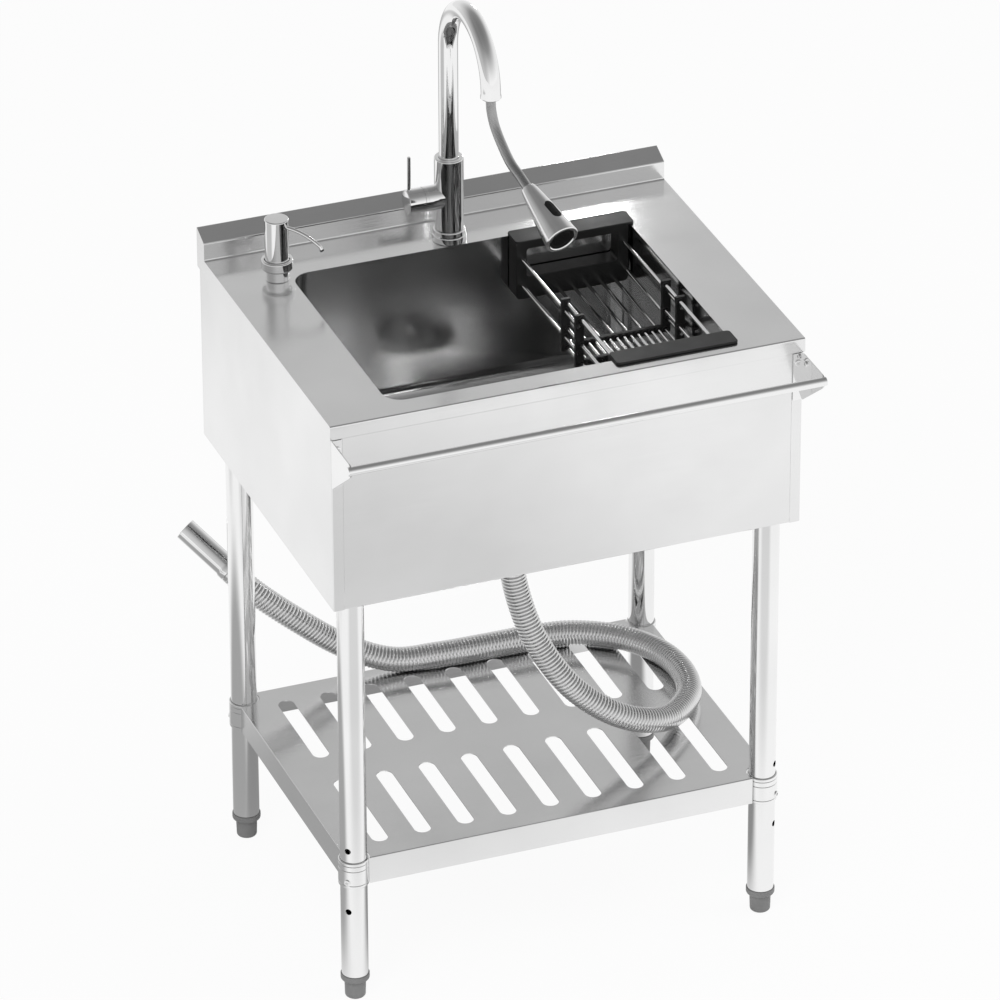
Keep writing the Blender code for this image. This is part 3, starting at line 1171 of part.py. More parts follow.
def hang_moving_parts():
    """Empties on the axes of the pieces that turn or slide."""
    hang_on("spout_axis", placed((TAP_X, TAP_BACK, TAP_BODY_TOP)), ["faucet_spout", "spray_hose"])
    hang_on("handle_axis", placed((VALVE_PIVOT_X, TAP_BACK, VALVE_HEIGHT)),
            ["valve_cartridge", "faucet_handle", "handle_lever"])
    hang_on("spray_axis", placed(SPRAY_TAIL), ["spray_head", "spray_face", "spray_button"])
    hang_on("pump_axis", placed((SOAP_X, SOAP_BACK, PUMP_HEAD_BOTTOM)), ["pump_stem", "pump_head"])
    rack_middle = (RACK_LEFT + RACK_RIGHT) / 2
    hang_on("rack_rear_axis", placed((rack_middle, RACK_REAR_FACE, FLOOR_HEIGHT)),
            ["rack_rear_frame", "rack_rear_rods", "rack_rear_slider"])
    hang_on("rack_front_axis", placed((rack_middle, RACK_FRONT_BACK, FLOOR_HEIGHT)),
            ["rack_front_frame", "rack_front_rods", "rack_front_slider"])


build_deck()
build_skirts()
build_bowl()
build_drain()
build_legs()
build_shelf()
build_towel_bar()
build_tap()
build_spout()
build_spray()
build_soap_pump()
build_rack()
build_spray_hose()
build_drain_hose()
hang_moving_parts()
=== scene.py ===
"""Looks of the free-standing sink: finishes, fine forms, hoses, fasteners, light and camera."""

import json
import math

import bmesh
import bpy
from mathutils import Matrix, Quaternion, Vector

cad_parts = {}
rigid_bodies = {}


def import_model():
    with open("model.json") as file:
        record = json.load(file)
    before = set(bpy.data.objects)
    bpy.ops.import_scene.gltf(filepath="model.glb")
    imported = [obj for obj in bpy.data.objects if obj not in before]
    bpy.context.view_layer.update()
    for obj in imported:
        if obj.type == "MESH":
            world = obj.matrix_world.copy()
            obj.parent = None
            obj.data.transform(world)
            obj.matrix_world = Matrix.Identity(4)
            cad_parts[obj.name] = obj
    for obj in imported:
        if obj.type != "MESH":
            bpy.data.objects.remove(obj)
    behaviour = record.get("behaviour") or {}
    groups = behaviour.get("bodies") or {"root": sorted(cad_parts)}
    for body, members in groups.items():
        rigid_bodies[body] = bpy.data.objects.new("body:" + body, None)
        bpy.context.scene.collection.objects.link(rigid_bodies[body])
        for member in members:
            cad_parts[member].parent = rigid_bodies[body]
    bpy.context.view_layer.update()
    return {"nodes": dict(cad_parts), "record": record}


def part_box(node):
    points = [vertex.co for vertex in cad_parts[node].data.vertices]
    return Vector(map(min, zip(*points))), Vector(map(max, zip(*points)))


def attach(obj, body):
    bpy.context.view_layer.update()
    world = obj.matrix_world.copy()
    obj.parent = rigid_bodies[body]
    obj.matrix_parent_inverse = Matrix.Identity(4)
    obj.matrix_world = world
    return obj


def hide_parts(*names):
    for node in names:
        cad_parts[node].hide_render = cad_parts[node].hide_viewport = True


for leftover in list(bpy.data.objects):
    bpy.data.objects.remove(leftover, do_unlink=True)

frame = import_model()

# Camera
CAMERA_SPOT = (-2.932, -7.5935, 5.157)
CAMERA_HEADING = -21.369
CAMERA_ELEVATION = 29.547
CAMERA_LENS = 277.94
CAMERA_SHIFT = (-0.0387, 0.0029)

# Light: the floor's glow, its painted shadow ovals that only mirrors see (middle, reach, depth), and the sky by height
FLOOR_GLOW = 0.93
PAINTED_SHADOW_POOLS = (
    ((-0.62, -0.05), (0.48, 0.50), 0.62),
    ((-0.06, 0.08), (0.40, 0.36), 0.72),
    ((0.00, 2.20), (2.20, 1.30), 0.55),
    ((-1.95, -0.40), (0.85, 1.10), 0.45),
    ((0.25, -1.12), (0.75, 0.80), 0.26),
)
SKY_BACK = ((0.0, 0.84), (0.22, 0.80), (0.49, 0.57), (0.75, 0.28), (1.0, 0.20))
SKY_FRONT = ((0.0, 1.0), (0.20, 0.85), (0.49, 0.56), (0.75, 0.30), (1.0, 0.20))
SKY_LEFT = 0.62

# Facet counts and steps of the fine forms
FINE = 64
ROUND = 40
SMALL = 24
TINY = 14
ARC_STEPS = 5
CURVE_STEPS = 24
SHARP = math.radians(35)
WELD = 0.00002
FINE_WELD = 0.000001

# Sizes that the fine forms share with the solids, in metres
DECK_FRONT = -0.2015
GAP = 0.0003
EDGE = 0.0015
SOFT_EDGE = 0.0007
SHEET = 0.0012

# Legs, shelf and feet
LEG_WALL = 0.0012
COLLAR_BORE = 0.0168
COLLAR_GROOVE = 0.0006
COLLAR_GROOVES = (0.0045, 0.0115, 0.0315)
SCREW_HEIGHT = 0.171
HOLE_PITCH = 0.043
HOLE_RADIUS = 0.004
FOOT_TOP = 0.0245
FOOT_TOP_RADIUS = 0.0133
FOOT_BOTTOM_RADIUS = 0.0127
FOOT_EDGE = 0.003
FOOT_STEM_RADIUS = 0.005
FOOT_STEM_TOP = 0.058
INSERT_RADIUS = 0.0178
INSERT_TOP = 0.033
INSERT_PLUG_RADIUS = 0.015
INSERT_PLUG_TOP = 0.062
SLOT_COUNT = 9
SLOT_PITCH = 0.0556
SLOT_RADIUS = 0.0105
SLOT_ROWS = ((0.052, 0.204), (0.260, 0.405))
SLOT_STEPS = 16

# Bowl and drain
BOWL_HALF = 0.216
BOWL_NEAR = 0.031
BOWL_FAR = 0.3726
BOWL_CORNER = 0.024
BOWL_LEAST_CORNER = 0.004
BOWL_FILLET = 0.022
BOWL_FLOOR = 0.612
BOWL_FLANGE = 0.004
BOWL_SHEET = 0.001
BOWL_STEPS = 12
DRAIN_SEAT = 0.607
DRAIN_SEAT_RADIUS = 0.060
DRAIN_HOLE_RADIUS = 0.046
DRAIN_LIP_RADIUS = 0.056
DRAIN_LIP_HEIGHT = 0.002
DRAIN_CUP_RADIUS = 0.0445
DRAIN_CUP_DEPTH = 0.040
DRAIN_CONE = 0.0126
DRAIN_TAIL_RADIUS = 0.0165
DRAIN_LENGTH = 0.062
DRAIN_WALL = 0.0015
BASKET_RADIUS = 0.0405
BASKET_WALL = 0.0012
BASKET_HOLES = 8
BASKET_HOLE_RADIUS = 0.005
BASKET_HOLE_CIRCLE = 0.0236

# Tap
TAP = (-0.003, 0.392)
TAP_RADIUS = 0.018
TAP_TOP = 0.924
TAP_LOW = 0.8286
SPOUT_SEAT = 0.896
SPOUT_RADIUS = 0.012
SPOUT_FLARE = 0.0006
SPOUT_BORE = 0.0092
SPOUT_BORE_DEPTH = 0.014
SPOUT_ARC_RADIUS = 0.0713
SPOUT_ARC_HEIGHT = 1.0745
SPOUT_MOUTH = 1.069
SPOUT_STEPS = 48
VALVE_HEIGHT = 0.872
VALVE_RADIUS = 0.0155
VALVE_ROOT_X = -0.012
VALVE_SEAM_X = -0.0374
VALVE_PIVOT_X = -0.045
VALVE_END_X = -0.060
VALVE_BALL = 0.017
VALVE_ROOM = 0.0108
VALVE_DEEP_X = -0.016
BALL_STEPS = 20
LEVER_X = -0.0545
CAP_DOME = 0.0018
CAP_DISC_RADIUS = 0.0140

# Spray
SPRAY_TAIL = (0.016, 0.177, 0.980)
SPRAY_AXIS = (0.1603, -0.9006, -0.4037)
SPRAY_ROLL = math.radians(10)
SPRAY_LENGTH = 0.085
SPRAY_TAIL_RADIUS = 0.0092
SPRAY_FRONT_RADIUS = 0.0213
SPRAY_CROWN = 0.0008
SPRAY_STATIONS = 16
SPRAY_RIM = 0.002
SPRAY_FACE_RADIUS = 0.0158
SPRAY_FACE_RECESS = 0.0014
SPRAY_FACE_CHAMFER = 0.001
SPRAY_FACE_THICKNESS = 0.004
BUTTON_LENGTH = 0.028
BUTTON_WIDTH = 0.0115
BUTTON_STATION = 0.0493
BUTTON_THICKNESS = 0.0035
BUTTON_PROUD = 0.0007
BUTTON_CLEARANCE = 0.0006
BUTTON_POCKET_DEPTH = 0.005
NUB_RINGS = ((0.0, 1), (0.0032, 6), (0.0064, 12), (0.0096, 18))
NUB_RADIUS = 0.0008
NUB_HEIGHT = 0.0009

# Soap pump
SOAP = (-0.232, 0.371)
SOAP_NECK_RADIUS = 0.014
SOAP_RING_RADIUS = 0.0195
SOAP_RING_LOW = 0.826
SOAP_RING_TOP = 0.839
SOAP_RING_EASE = 0.003
SOAP_WELL_RADIUS = 0.0154
SOAP_WELL_FLOOR = 0.8275
SOAP_THREAD_RADIUS = 0.0125
PUMP_STEM_BORE = 0.0043
PUMP_STEM_TOP = 0.8453
NOZZLE_HEIGHT = 0.8835
NOZZLE_REACH = (0.0074, 0.058)
NOZZLE_DROOP = 0.017
NOZZLE_BEND = 2.2
NOZZLE_RADIUS = 0.0023
NOZZLE_BORE = 0.0015
NOZZLE_TIP = (0.002, 0.005)
# Length of the black ring at the nozzle's mouth, which is painted shade
NOZZLE_TIP_LENGTH = 0.0022
NOZZLE_STEPS = 20

# Dish rack
RACK_LEFT = 0.0665
RACK_RIGHT = 0.2135
RACK_FLANGE_RIGHT = 0.2215
RACK_BOTTOM = 0.736
RACK_TOP = 0.8153
RACK_FLANGE_THICKNESS = 0.003
RACK_FLANGE_LAP = 0.001
RACK_CLEARANCE = 0.0015
RACK_FRAMES = {"rack_rear_frame": (0.3462, 0.3712, 0.379), "rack_front_frame": (0.047, 0.0325, 0.0165)}
RACK_UPRIGHT = 0.0138
RACK_WINDOW = (0.766, 0.804)
RACK_CORNER = 0.006
RACK_FLANGE_CORNER = 0.005
RACK_WINDOW_CORNER = 0.004
RACK_EASE = 0.0008
ROD_RADIUS = 0.0025
ROD_SEAT = 0.006
FLOOR_HEIGHT = 0.742
FLOOR_GAPS = 7
REAR_RAIL_INSET = 0.007
REAR_RAILS = (0.7926, 0.757)
FRONT_RAIL_INSET = 0.010
FRONT_RAILS = (0.802, 0.768)
SLIDER_INSET = 0.0028
SLIDER_DEPTH = 0.0055
SLIDER_WIDTH = 0.0112
SLIDER_FLOOR = (0.7374, 0.7466)
SLIDER_TOP = 0.8075
SLIDER_HOLE = 0.0032
SLIDER_BOSS = 0.0043
SLIDER_BOSS_LENGTH = 0.0085
SLIDER_MIDDLES = {"rack_rear_slider": 0.160, "rack_front_slider": 0.205}

# Fasteners
SCREW_RADIUS = 0.0042
SCREW_HEAD = 0.0018
SCREW_SLOT = (0.0022, 0.0005)
SCREW_SLOT_DEPTH = 0.0012
SCREW_TURN = math.radians(20)

# Hoses, as routed in the solids: (x, distance behind the deck's front edge, z)
HOSE_RADIUS = 0.016
HOSE_VALLEY = 0.0148
HOSE_PITCH = 0.0047
HOSE_CREST = 0.6
HOSE_PLAIN_END = 0.006
HOSE_WALL = 0.0022
HOSE_RIB_STEPS = 8
CUFF_RADIUS = 0.0145
CUFF_COLLAR_RADIUS = 0.0160
CUFF_WALL = 0.0016
CUFF_LENGTH = 0.078
CUFF_COLLAR_LENGTH = 0.008
CUFF_CONE_LENGTH = 0.003
HOSE_ROUTE = (
    (0.0000, 0.2018, 0.5447),
    (0.0000, 0.2018, 0.5050),
    (0.0053, 0.1934, 0.4300),
    (0.0242, 0.1716, 0.3600),
    (0.0622, 0.1461, 0.2997),
    (0.1207, 0.1340, 0.2536),
    (0.1874, 0.1522, 0.2246),
    (0.2395, 0.2051, 0.2150),
    (0.2563, 0.2600, 0.2150),
    (0.2485, 0.3192, 0.2150),
    (0.2164, 0.3696, 0.2150),
    (0.1660, 0.4017, 0.2150),
    (0.1150, 0.4110, 0.2150),
    (0.0500, 0.4125, 0.2150),
    (-0.0150, 0.4150, 0.2150),
    (-0.0720, 0.4230, 0.2160),
    (-0.1280, 0.4435, 0.2365),
    (-0.1841, 0.4600, 0.2767),
    (-0.2319, 0.4842, 0.3147),
    (-0.2538, 0.5064, 0.3371),
)
SPRAY_HOSE_RADIUS = 0.006
SPRAY_HOSE_GROOVE = 0.00012
SPRAY_HOSE_PITCH = 0.0016
SPRAY_HOSE_STEPS = 6
SPRAY_ROUTE = (
    (-0.0030, 0.2497, 1.0825),
    (-0.0030, 0.2497, 1.0640),
    (-0.0024, 0.2482, 1.0500),
    (-0.0005, 0.2420, 1.0334),
    (0.0030, 0.2282, 1.0154),
    (0.0075, 0.2120, 0.9985),
    (0.0131, 0.1932, 0.9873),
    (0.0159, 0.1775, 0.9802),
)

SHEET_NODES = ("deck", "front_skirt", "rear_skirt", "left_skirt", "right_skirt", "towel_bracket")
CORNERS = ("front_left", "front_right", "rear_left", "rear_right")
SLOTS = {row["node"]: row["material_slot"] for row in frame["record"]["subparts"]}
BODIES = {node: body for body, nodes in frame["record"]["behaviour"]["bodies"].items() for node in nodes}
HERE = Matrix.Identity(4)
SIDE_PLANE = Matrix(((0, 0, 1, 0), (1, 0, 0, 0), (0, 1, 0, 0), (0, 0, 0, 1)))
FACE_PLANE = Matrix(((1, 0, 0, 0), (0, 0, -1, 0), (0, 1, 0, 0), (0, 0, 0, 1)))


def wire(tree, kind, sockets, **settings):
    """Node with its settings, and its inputs given as values or as sockets to link."""
    made = tree.nodes.new(kind)
    for key, value in settings.items():
        setattr(made, key, value)
    for key, value in sockets.items():
        if isinstance(value, bpy.types.NodeSocket):
            tree.links.new(value, made.inputs[key])
        else:
            made.inputs[key].default_value = value
    return made


def noise(tree, scale, low, high, stretch=(1.0, 1.0, 1.0), detail=3.0):
    """Noise over the object's own metres, spread between two values."""
    place = wire(tree, "ShaderNodeTexCoord", {})
    sized = wire(tree, "ShaderNodeMapping", {"Vector": place.outputs["Object"], "Scale": stretch})
    grain = wire(tree, "ShaderNodeTexNoise",
                 {"Vector": sized.outputs["Vector"], "Scale": scale, "Detail": detail})
    spread = wire(tree, "ShaderNodeMapRange", {"Value": grain.outputs["Fac"], "From Min": 0.3,
                                               "From Max": 0.7, "To Min": low, "To Max": high})
    return spread.outputs["Result"]


def finish(name, dark, light, metallic, roughness, grain, grain_scale, depth, smudge=7.0, spread=0.05):
    """Principled finish: cloudy colour, roughness that follows grain and smudges, and fine relief."""
    material = bpy.data.materials.new(name)
    material.use_nodes = True
    tree = material.node_tree
    shader = tree.nodes["Principled BSDF"]
    shader.inputs["Metallic"].default_value = metallic
    cloud = noise(tree, smudge, 0.0, 1.0, detail=4.0)
    colour = wire(tree, "ShaderNodeMix", {0: cloud, 6: (dark, dark, dark, 1.0), 7: (light, light, light, 1.0)},
                  data_type="RGBA")
    tree.links.new(colour.outputs[2], shader.inputs["Base Color"])
    fine = noise(tree, grain_scale, roughness - spread, roughness + spread, grain)
    film = noise(tree, smudge * 2.3, -spread * 0.6, spread * 0.6, detail=2.0)
    rough = wire(tree, "ShaderNodeMath", {0: fine, 1: film}, operation="ADD", use_clamp=True)
    tree.links.new(rough.outputs["Value"], shader.inputs["Roughness"])
    relief = noise(tree, grain_scale, 0.0, 1.0, grain)
    bump = wire(tree, "ShaderNodeBump", {"Height": relief, "Strength": 1.0, "Distance": depth})
    tree.links.new(bump.outputs["Normal"], shader.inputs["Normal"])
    return material


ALONG_X = (0.02, 1.0, 1.0)
ALONG_Z = (1.0, 1.0, 0.02)
EVEN = (1.0, 1.0, 1.0)
FINISHES = {
    "brushed_steel": finish("brushed_steel", 0.80, 0.86, 1.0, 0.17, ALONG_X, 900.0, 0.000003),
    # bowl_steel is darker than the other steels: painted shade for the bowl's shadowed inside
    "bowl_steel": finish("bowl_steel", 0.58, 0.66, 1.0, 0.15, EVEN, 500.0, 0.000001, spread=0.02),
    "polished_steel": finish("polished_steel", 0.86, 0.91, 1.0, 0.10, ALONG_Z, 700.0, 0.0000015, spread=0.03),
    "chrome": finish("chrome", 0.86, 0.90, 1.0, 0.05, EVEN, 500.0, 0.0000004, 12.0, 0.02),
    "satin_nickel": finish("satin_nickel", 0.80, 0.87, 1.0, 0.13, EVEN, 1400.0, 0.000001, 20.0, 0.03),
    "black_plastic": finish("black_plastic", 0.007, 0.013, 0.0, 0.44, EVEN, 1500.0, 0.00003, 16.0, 0.08),
    "grey_plastic": finish("grey_plastic", 0.20, 0.26, 0.0, 0.45, EVEN, 1500.0, 0.00003, 30.0, 0.06),
    "spray_black": finish("spray_black", 0.004, 0.008, 0.0, 0.50, EVEN, 1500.0, 0.00002, 16.0, 0.08),
    "cuff_steel": finish("cuff_steel", 0.84, 0.90, 1.0, 0.08, EVEN, 300.0, 0.0000002, 10.0, 0.02),
    "black_rubber": finish("black_rubber", 0.012, 0.020, 0.0, 0.60, EVEN, 1200.0, 0.00003, 30.0, 0.06),
    "bottle_plastic": finish("bottle_plastic", 0.78, 0.84, 0.0, 0.38, EVEN, 300.0, 0.00002, 14.0),
    "grey_hose": finish("grey_hose", 0.38, 0.45, 1.0, 0.26, EVEN, 1800.0, 0.00001, 25.0),
    "ribbed_hose": finish("ribbed_hose", 0.68, 0.76, 1.0, 0.16, EVEN, 900.0, 0.000002, 18.0, 0.04),
}
FINISHES["spray_black"].node_tree.nodes["Principled BSDF"].inputs["Specular IOR Level"].default_value = 0.2


def smoothing():
    """Node group that joins loose facets and shades them smooth up to an angle."""
    group = bpy.data.node_groups.new("smooth_facets", "GeometryNodeTree")
    group.interface.new_socket("Geometry", in_out="INPUT", socket_type="NodeSocketGeometry")
    group.interface.new_socket("Geometry", in_out="OUTPUT", socket_type="NodeSocketGeometry")
    start = group.nodes.new("NodeGroupInput")
    loose = wire(group, "GeometryNodeRemoveAttribute",
                 {"Geometry": start.outputs["Geometry"], "Name": "custom_normal"})
    joined = wire(group, "GeometryNodeMergeByDistance",
                  {"Geometry": loose.outputs["Geometry"], "Distance": WELD})
    faces = wire(group, "GeometryNodeSetShadeSmooth",
                 {"Geometry": joined.outputs["Geometry"], "Shade Smooth": True}, domain="FACE")
    bend = wire(group, "GeometryNodeInputMeshEdgeAngle", {})
    gentle = wire(group, "FunctionNodeCompare", {0: bend.outputs["Unsigned Angle"], 1: SHARP},
                  data_type="FLOAT", operation="LESS_THAN")
    edges = wire(group, "GeometryNodeSetShadeSmooth",
                 {"Geometry": faces.outputs["Geometry"], "Shade Smooth": gentle.outputs["Result"]},
                 domain="EDGE")
    end = group.nodes.new("NodeGroupOutput")
    group.links.new(edges.outputs["Geometry"], end.inputs["Geometry"])
    return group


def keep_flats(made):
    """Shading that leaves flat faces flat beside their eased edges."""
    step = made.modifiers.new("flat_faces", "WEIGHTED_NORMAL")
    step.mode = "FACE_AREA"
    step.weight = 100
    step.keep_sharp = True


def dress_nodes():
    """Finish for every solid of the frame, and smooth shading for those that aren't folded sheet."""
    group = smoothing()
    for name, node in frame["nodes"].items():
        node.data.materials.clear()
        node.data.materials.append(FINISHES[SLOTS[name]])
        if not name.startswith(SHEET_NODES):
            step = node.modifiers.new("smooth_facets", "NODES")
            step.node_group = group
            keep_flats(node)


def piece(name, mesh, slot, body, *nodes):
    """Link a mesh as a piece of a body, with its finish and the solids it stands for."""
    made = bpy.data.objects.new(name, mesh)
    bpy.context.scene.collection.objects.link(made)
    mesh.materials.clear()
    mesh.materials.append(FINISHES[slot])
    keep_flats(made)
    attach(made, body)
    if nodes:
        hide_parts(*nodes)
    return made


def stand_in(name, mesh, node):
    """Fine form that takes the place of one solid, on its body and in its finish."""
    return piece(name, mesh, SLOTS[node], BODIES[node], node)


def refinished(made, name):
    """Give a piece a finish of its own in place of its slot's."""
    made.data.materials[0] = FINISHES[name]
    return made


def behind(distance):
    """World Y of a point this far behind the deck's front edge."""
    return DECK_FRONT + distance


def placed(point):
    """World position of (x, distance behind the deck's front edge, z)."""
    return Vector((point[0], behind(point[1]), point[2]))


def upright(spot):
    """Frame of a turned piece that stands at (x, distance behind the front edge)."""
    return Matrix.Translation(placed((spot[0], spot[1], 0.0)))


def round_box(node):
    """Frame on the floor, radius, lowest and highest height of an upright round solid."""
    low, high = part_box(node)
    middle = (low + high) / 2
    return Matrix.Translation((middle.x, middle.y, 0.0)), (high.x - low.x) / 2, low.z, high.z


def tidied(work, name, weld=WELD):
    """Mesh from bmesh data: welded, facing out and smooth up to the sharp angle."""
    bmesh.ops.remove_doubles(work, verts=work.verts, dist=weld)
    bmesh.ops.recalc_face_normals(work, faces=work.faces)
    mesh = bpy.data.meshes.new(name)
    work.to_mesh(mesh)
    work.free()
    mesh.shade_smooth()
    mesh.set_sharp_from_angle(angle=SHARP)
    return mesh


def add_turned(work, profile, sides, place, ring):
    """Spin a profile of (radius, height) points about Z into bmesh data."""
    turns = [2 * math.pi * index / sides for index in range(sides)]
    loops = []
    for radius, height in profile:
        around = turns if radius > 0.0 else [0.0]
        loops.append([work.verts.new(place @ Vector((radius * math.cos(a), radius * math.sin(a), height)))
                      for a in around])
    pairs = list(zip(loops, loops[1:]))
    if ring:
        pairs.append((loops[-1], loops[0]))
    for first, second in pairs:
        for index in range(sides):
            after = (index + 1) % sides
            corners = (first[index % len(first)], first[after % len(first)],
                       second[after % len(second)], second[index % len(second)])
            corners = list(dict.fromkeys(corners))
            if len(corners) > 2:
                work.faces.new(corners)


def turned(name, profile, sides, place=HERE, ring=False):
    """Mesh of a profile spun about Z; a ring's profile closes on itself."""
    work = bmesh.new()
    add_turned(work, profile, sides, place, ring)
    return tidied(work, name)


def rod_frame(start, end):
    """Frame at the start of a rod, with Z along it."""
    turn = (end - start).to_track_quat("Z", "Y").to_matrix().to_4x4()
    return Matrix.Translation(start) @ turn


def rods(name, ends, radius, sides, ease=0.0):
    """Mesh of separate round rods between pairs of points, with eased ends."""
    work = bmesh.new()
    for start, end in ends:
        length = (end - start).length
        profile = [(0.0, 0.0), (radius - ease, 0.0), (radius, ease), (radius, length - ease),
                   (radius - ease, length), (0.0, length)]
        add_turned(work, profile, sides, rod_frame(start, end), False)
    return tidied(work, name)


def arc(centre, radius, first, last, steps=ARC_STEPS):
    """Points of (radius, height) on an arc between two angles in degrees."""
    angles = [math.radians(first + (last - first) * step / steps) for step in range(steps + 1)]
    return [(centre[0] + radius * math.cos(a), centre[1] + radius * math.sin(a)) for a in angles]


def skin(name, rings, closed_path=False):
    """Mesh over rings of equal point counts; a closed path joins the last ring to the first."""
    work = bmesh.new()
    loops = [[work.verts.new(point) for point in ring] for ring in rings]
    pairs = list(zip(loops, loops[1:]))
    if closed_path:
        pairs.append((loops[-1], loops[0]))
    for lower, upper in pairs:
        count = len(lower)
        for index in range(count):
            following = (index + 1) % count
            work.faces.new((lower[index], lower[following], upper[following], upper[index]))
    if not closed_path:
        work.faces.new(loops[0][::-1])
        work.faces.new(loops[-1])
    return tidied(work, name)


def loose(mesh):
    """Object of a mesh or curve, linked so that it can be evaluated."""
    made = bpy.data.objects.new(mesh.name, mesh)
    bpy.context.scene.collection.objects.link(made)
    return made


def evaluated(made):
    """Mesh of an object with its modifiers applied; the object goes."""
    graph = bpy.context.evaluated_depsgraph_get()
    mesh = bpy.data.meshes.new_from_object(made.evaluated_get(graph))
    bpy.data.objects.remove(made)
    return mesh


def carved(name, base, steps):
    """Mesh after exact booleans with (operation, mesh) steps."""
    made = loose(base)
    tools = []
    for operation, mesh in steps:
        tool = loose(mesh)
        step = made.modifiers.new(operation.lower(), "BOOLEAN")
        step.operation = operation
        step.solver = "EXACT"
        step.object = tool
        tools.append(tool)
    result = evaluated(made)
    for tool in tools:
        bpy.data.objects.remove(tool)
    work = bmesh.new()
    work.from_mesh(result)
    return tidied(work, name, FINE_WELD)


def plate(name, loops, depth, place, ease=0.0):
    """Mesh of flat outlines, with inner loops as holes, given a thickness and eased edges."""
    curve = bpy.data.curves.new(name, "CURVE")
    curve.dimensions = "2D"
    curve.fill_mode = "BOTH"
    curve.extrude = depth / 2 - ease
    curve.bevel_depth = ease
    curve.bevel_resolution = 2
    curve.offset = -ease
    for loop in loops:
        spline = curve.splines.new("POLY")
        spline.points.add(len(loop) - 1)
        spline.use_cyclic_u = True
        for point, (across, along) in zip(spline.points, loop):
            point.co = (across, along, 0.0, 1.0)
    work = bmesh.new()
    work.from_mesh(evaluated(loose(curve)))
    work.transform(place)
    return tidied(work, name)


def circle(centre, radius, count):
    """Points round a circle."""
    turns = [2 * math.pi * index / count for index in range(count)]
    return [(centre[0] + radius * math.cos(a), centre[1] + radius * math.sin(a)) for a in turns]


def rounded_rectangle(low, high, radius, steps):
    """Rectangle outline with arcs at its corners, counter-clockwise from the right side."""
    points = []
    corners = ((high[0], high[1]), (low[0], high[1]), (low[0], low[1]), (high[0], low[1]))
    for quarter, (x, y) in enumerate(corners):
        centre_x = x - radius if x == high[0] else x + radius
        centre_y = y - radius if y == high[1] else y + radius
        for step in range(steps + 1):
            angle = (quarter + step / steps) * math.pi / 2
            points.append((centre_x + radius * math.cos(angle), centre_y + radius * math.sin(angle)))
    return points


def stadium(x, start, end, radius, steps):
    """Slot outline with round ends, running along Y."""
    points = []
    for centre, first in ((end - radius, 0.0), (start + radius, math.pi)):
        for step in range(steps + 1):
            angle = first + math.pi * step / steps
            points.append((x + radius * math.cos(angle), centre + radius * math.sin(angle)))
    return points


def smooth_route(points, step_length):
    """Evenly spaced points on a smooth curve through hand-set points."""
    spots = [placed(point) for point in points]
    spots = [2 * spots[0] - spots[1]] + spots + [2 * spots[-1] - spots[-2]]
    fine = []
    for a, b, c, d in zip(spots, spots[1:], spots[2:], spots[3:]):
        for step in range(CURVE_STEPS):
            t = step / CURVE_STEPS
            fine.append(0.5 * (2 * b + (c - a) * t + (2 * a - 5 * b + 4 * c - d) * t ** 2
                               + (3 * b - a - 3 * c + d) * t ** 3))
    fine.append(spots[-2])
    travelled = [0.0]
    for first, second in zip(fine, fine[1:]):
        travelled.append(travelled[-1] + (second - first).length)
    count = round(travelled[-1] / step_length) + 1
    spaced = []
    index = 0
    for step in range(count):
        goal = travelled[-1] * step / (count - 1)
        while index < len(fine) - 2 and travelled[index + 1] < goal:
            index += 1
        share = (goal - travelled[index]) / (travelled[index + 1] - travelled[index])
        spaced.append(fine[index].lerp(fine[index + 1], share))
    return spaced, travelled[-1]


def route_frames(route):
    """Frames that follow a route without twisting: Z along it."""
    frames = []
    turn = None
    for index, here in enumerate(route):
        ahead = route[min(index + 1, len(route) - 1)]
        back = route[max(index - 1, 0)]
        along = (ahead - back).normalized()
        if turn is None:
            turn = along.to_track_quat("Z", "X")
        else:
            turn = (turn @ Vector((0.0, 0.0, 1.0))).rotation_difference(along) @ turn
        frames.append(Matrix.Translation(here) @ turn.to_matrix().to_4x4())
    return frames


def tube_rings(frames, radii, sides):
    """Circles of the given radii on the frames of a route."""
    turns = [2 * math.pi * index / sides for index in range(sides)]
    return [[place @ Vector((radius * math.cos(a), radius * math.sin(a), 0.0)) for a in turns]
            for place, radius in zip(frames, radii)]


def drain_hose():
    """Ribbed metal hose with an open bore, from the drain's tail to a plain cuff."""
    route, length = smooth_route(HOSE_ROUTE, HOSE_PITCH / HOSE_RIB_STEPS)
    frames = route_frames(route)
    radii = []
    for index in range(len(route)):
        station = length * index / (len(route) - 1)
        swell = abs(math.sin(math.pi * station / HOSE_PITCH)) ** HOSE_CREST
        rib = HOSE_VALLEY + (HOSE_RADIUS - HOSE_VALLEY) * swell
        plain = min(station, length - station) < HOSE_PLAIN_END
        radii.append(HOSE_RADIUS - GAP if plain else rib)
    bore = [HOSE_VALLEY - HOSE_WALL for _ in radii]
    rings = tube_rings(frames, radii, SMALL)
    inner = tube_rings(frames[::HOSE_RIB_STEPS] + frames[-1:], bore, SMALL)
    made = stand_in("drain_hose_ribbed", skin("drain_hose_ribbed", rings + inner[::-1], True), "drain_hose")
    tube = CUFF_RADIUS
    lip = CUFF_COLLAR_RADIUS
    inside = CUFF_RADIUS - CUFF_WALL
    profile = [(tube - SOFT_EDGE, CUFF_LENGTH), (tube, CUFF_LENGTH - SOFT_EDGE),
               (tube, CUFF_COLLAR_LENGTH + CUFF_CONE_LENGTH), (lip, CUFF_COLLAR_LENGTH),
               (lip, GAP + SOFT_EDGE), (lip - SOFT_EDGE, GAP), (inside, GAP), (inside, CUFF_LENGTH)]
    cuff = stand_in("hose_cuff_plain", turned("hose_cuff_plain", profile, FINE, frames[-1], True), "hose_cuff")
    refinished(cuff, "cuff_steel")


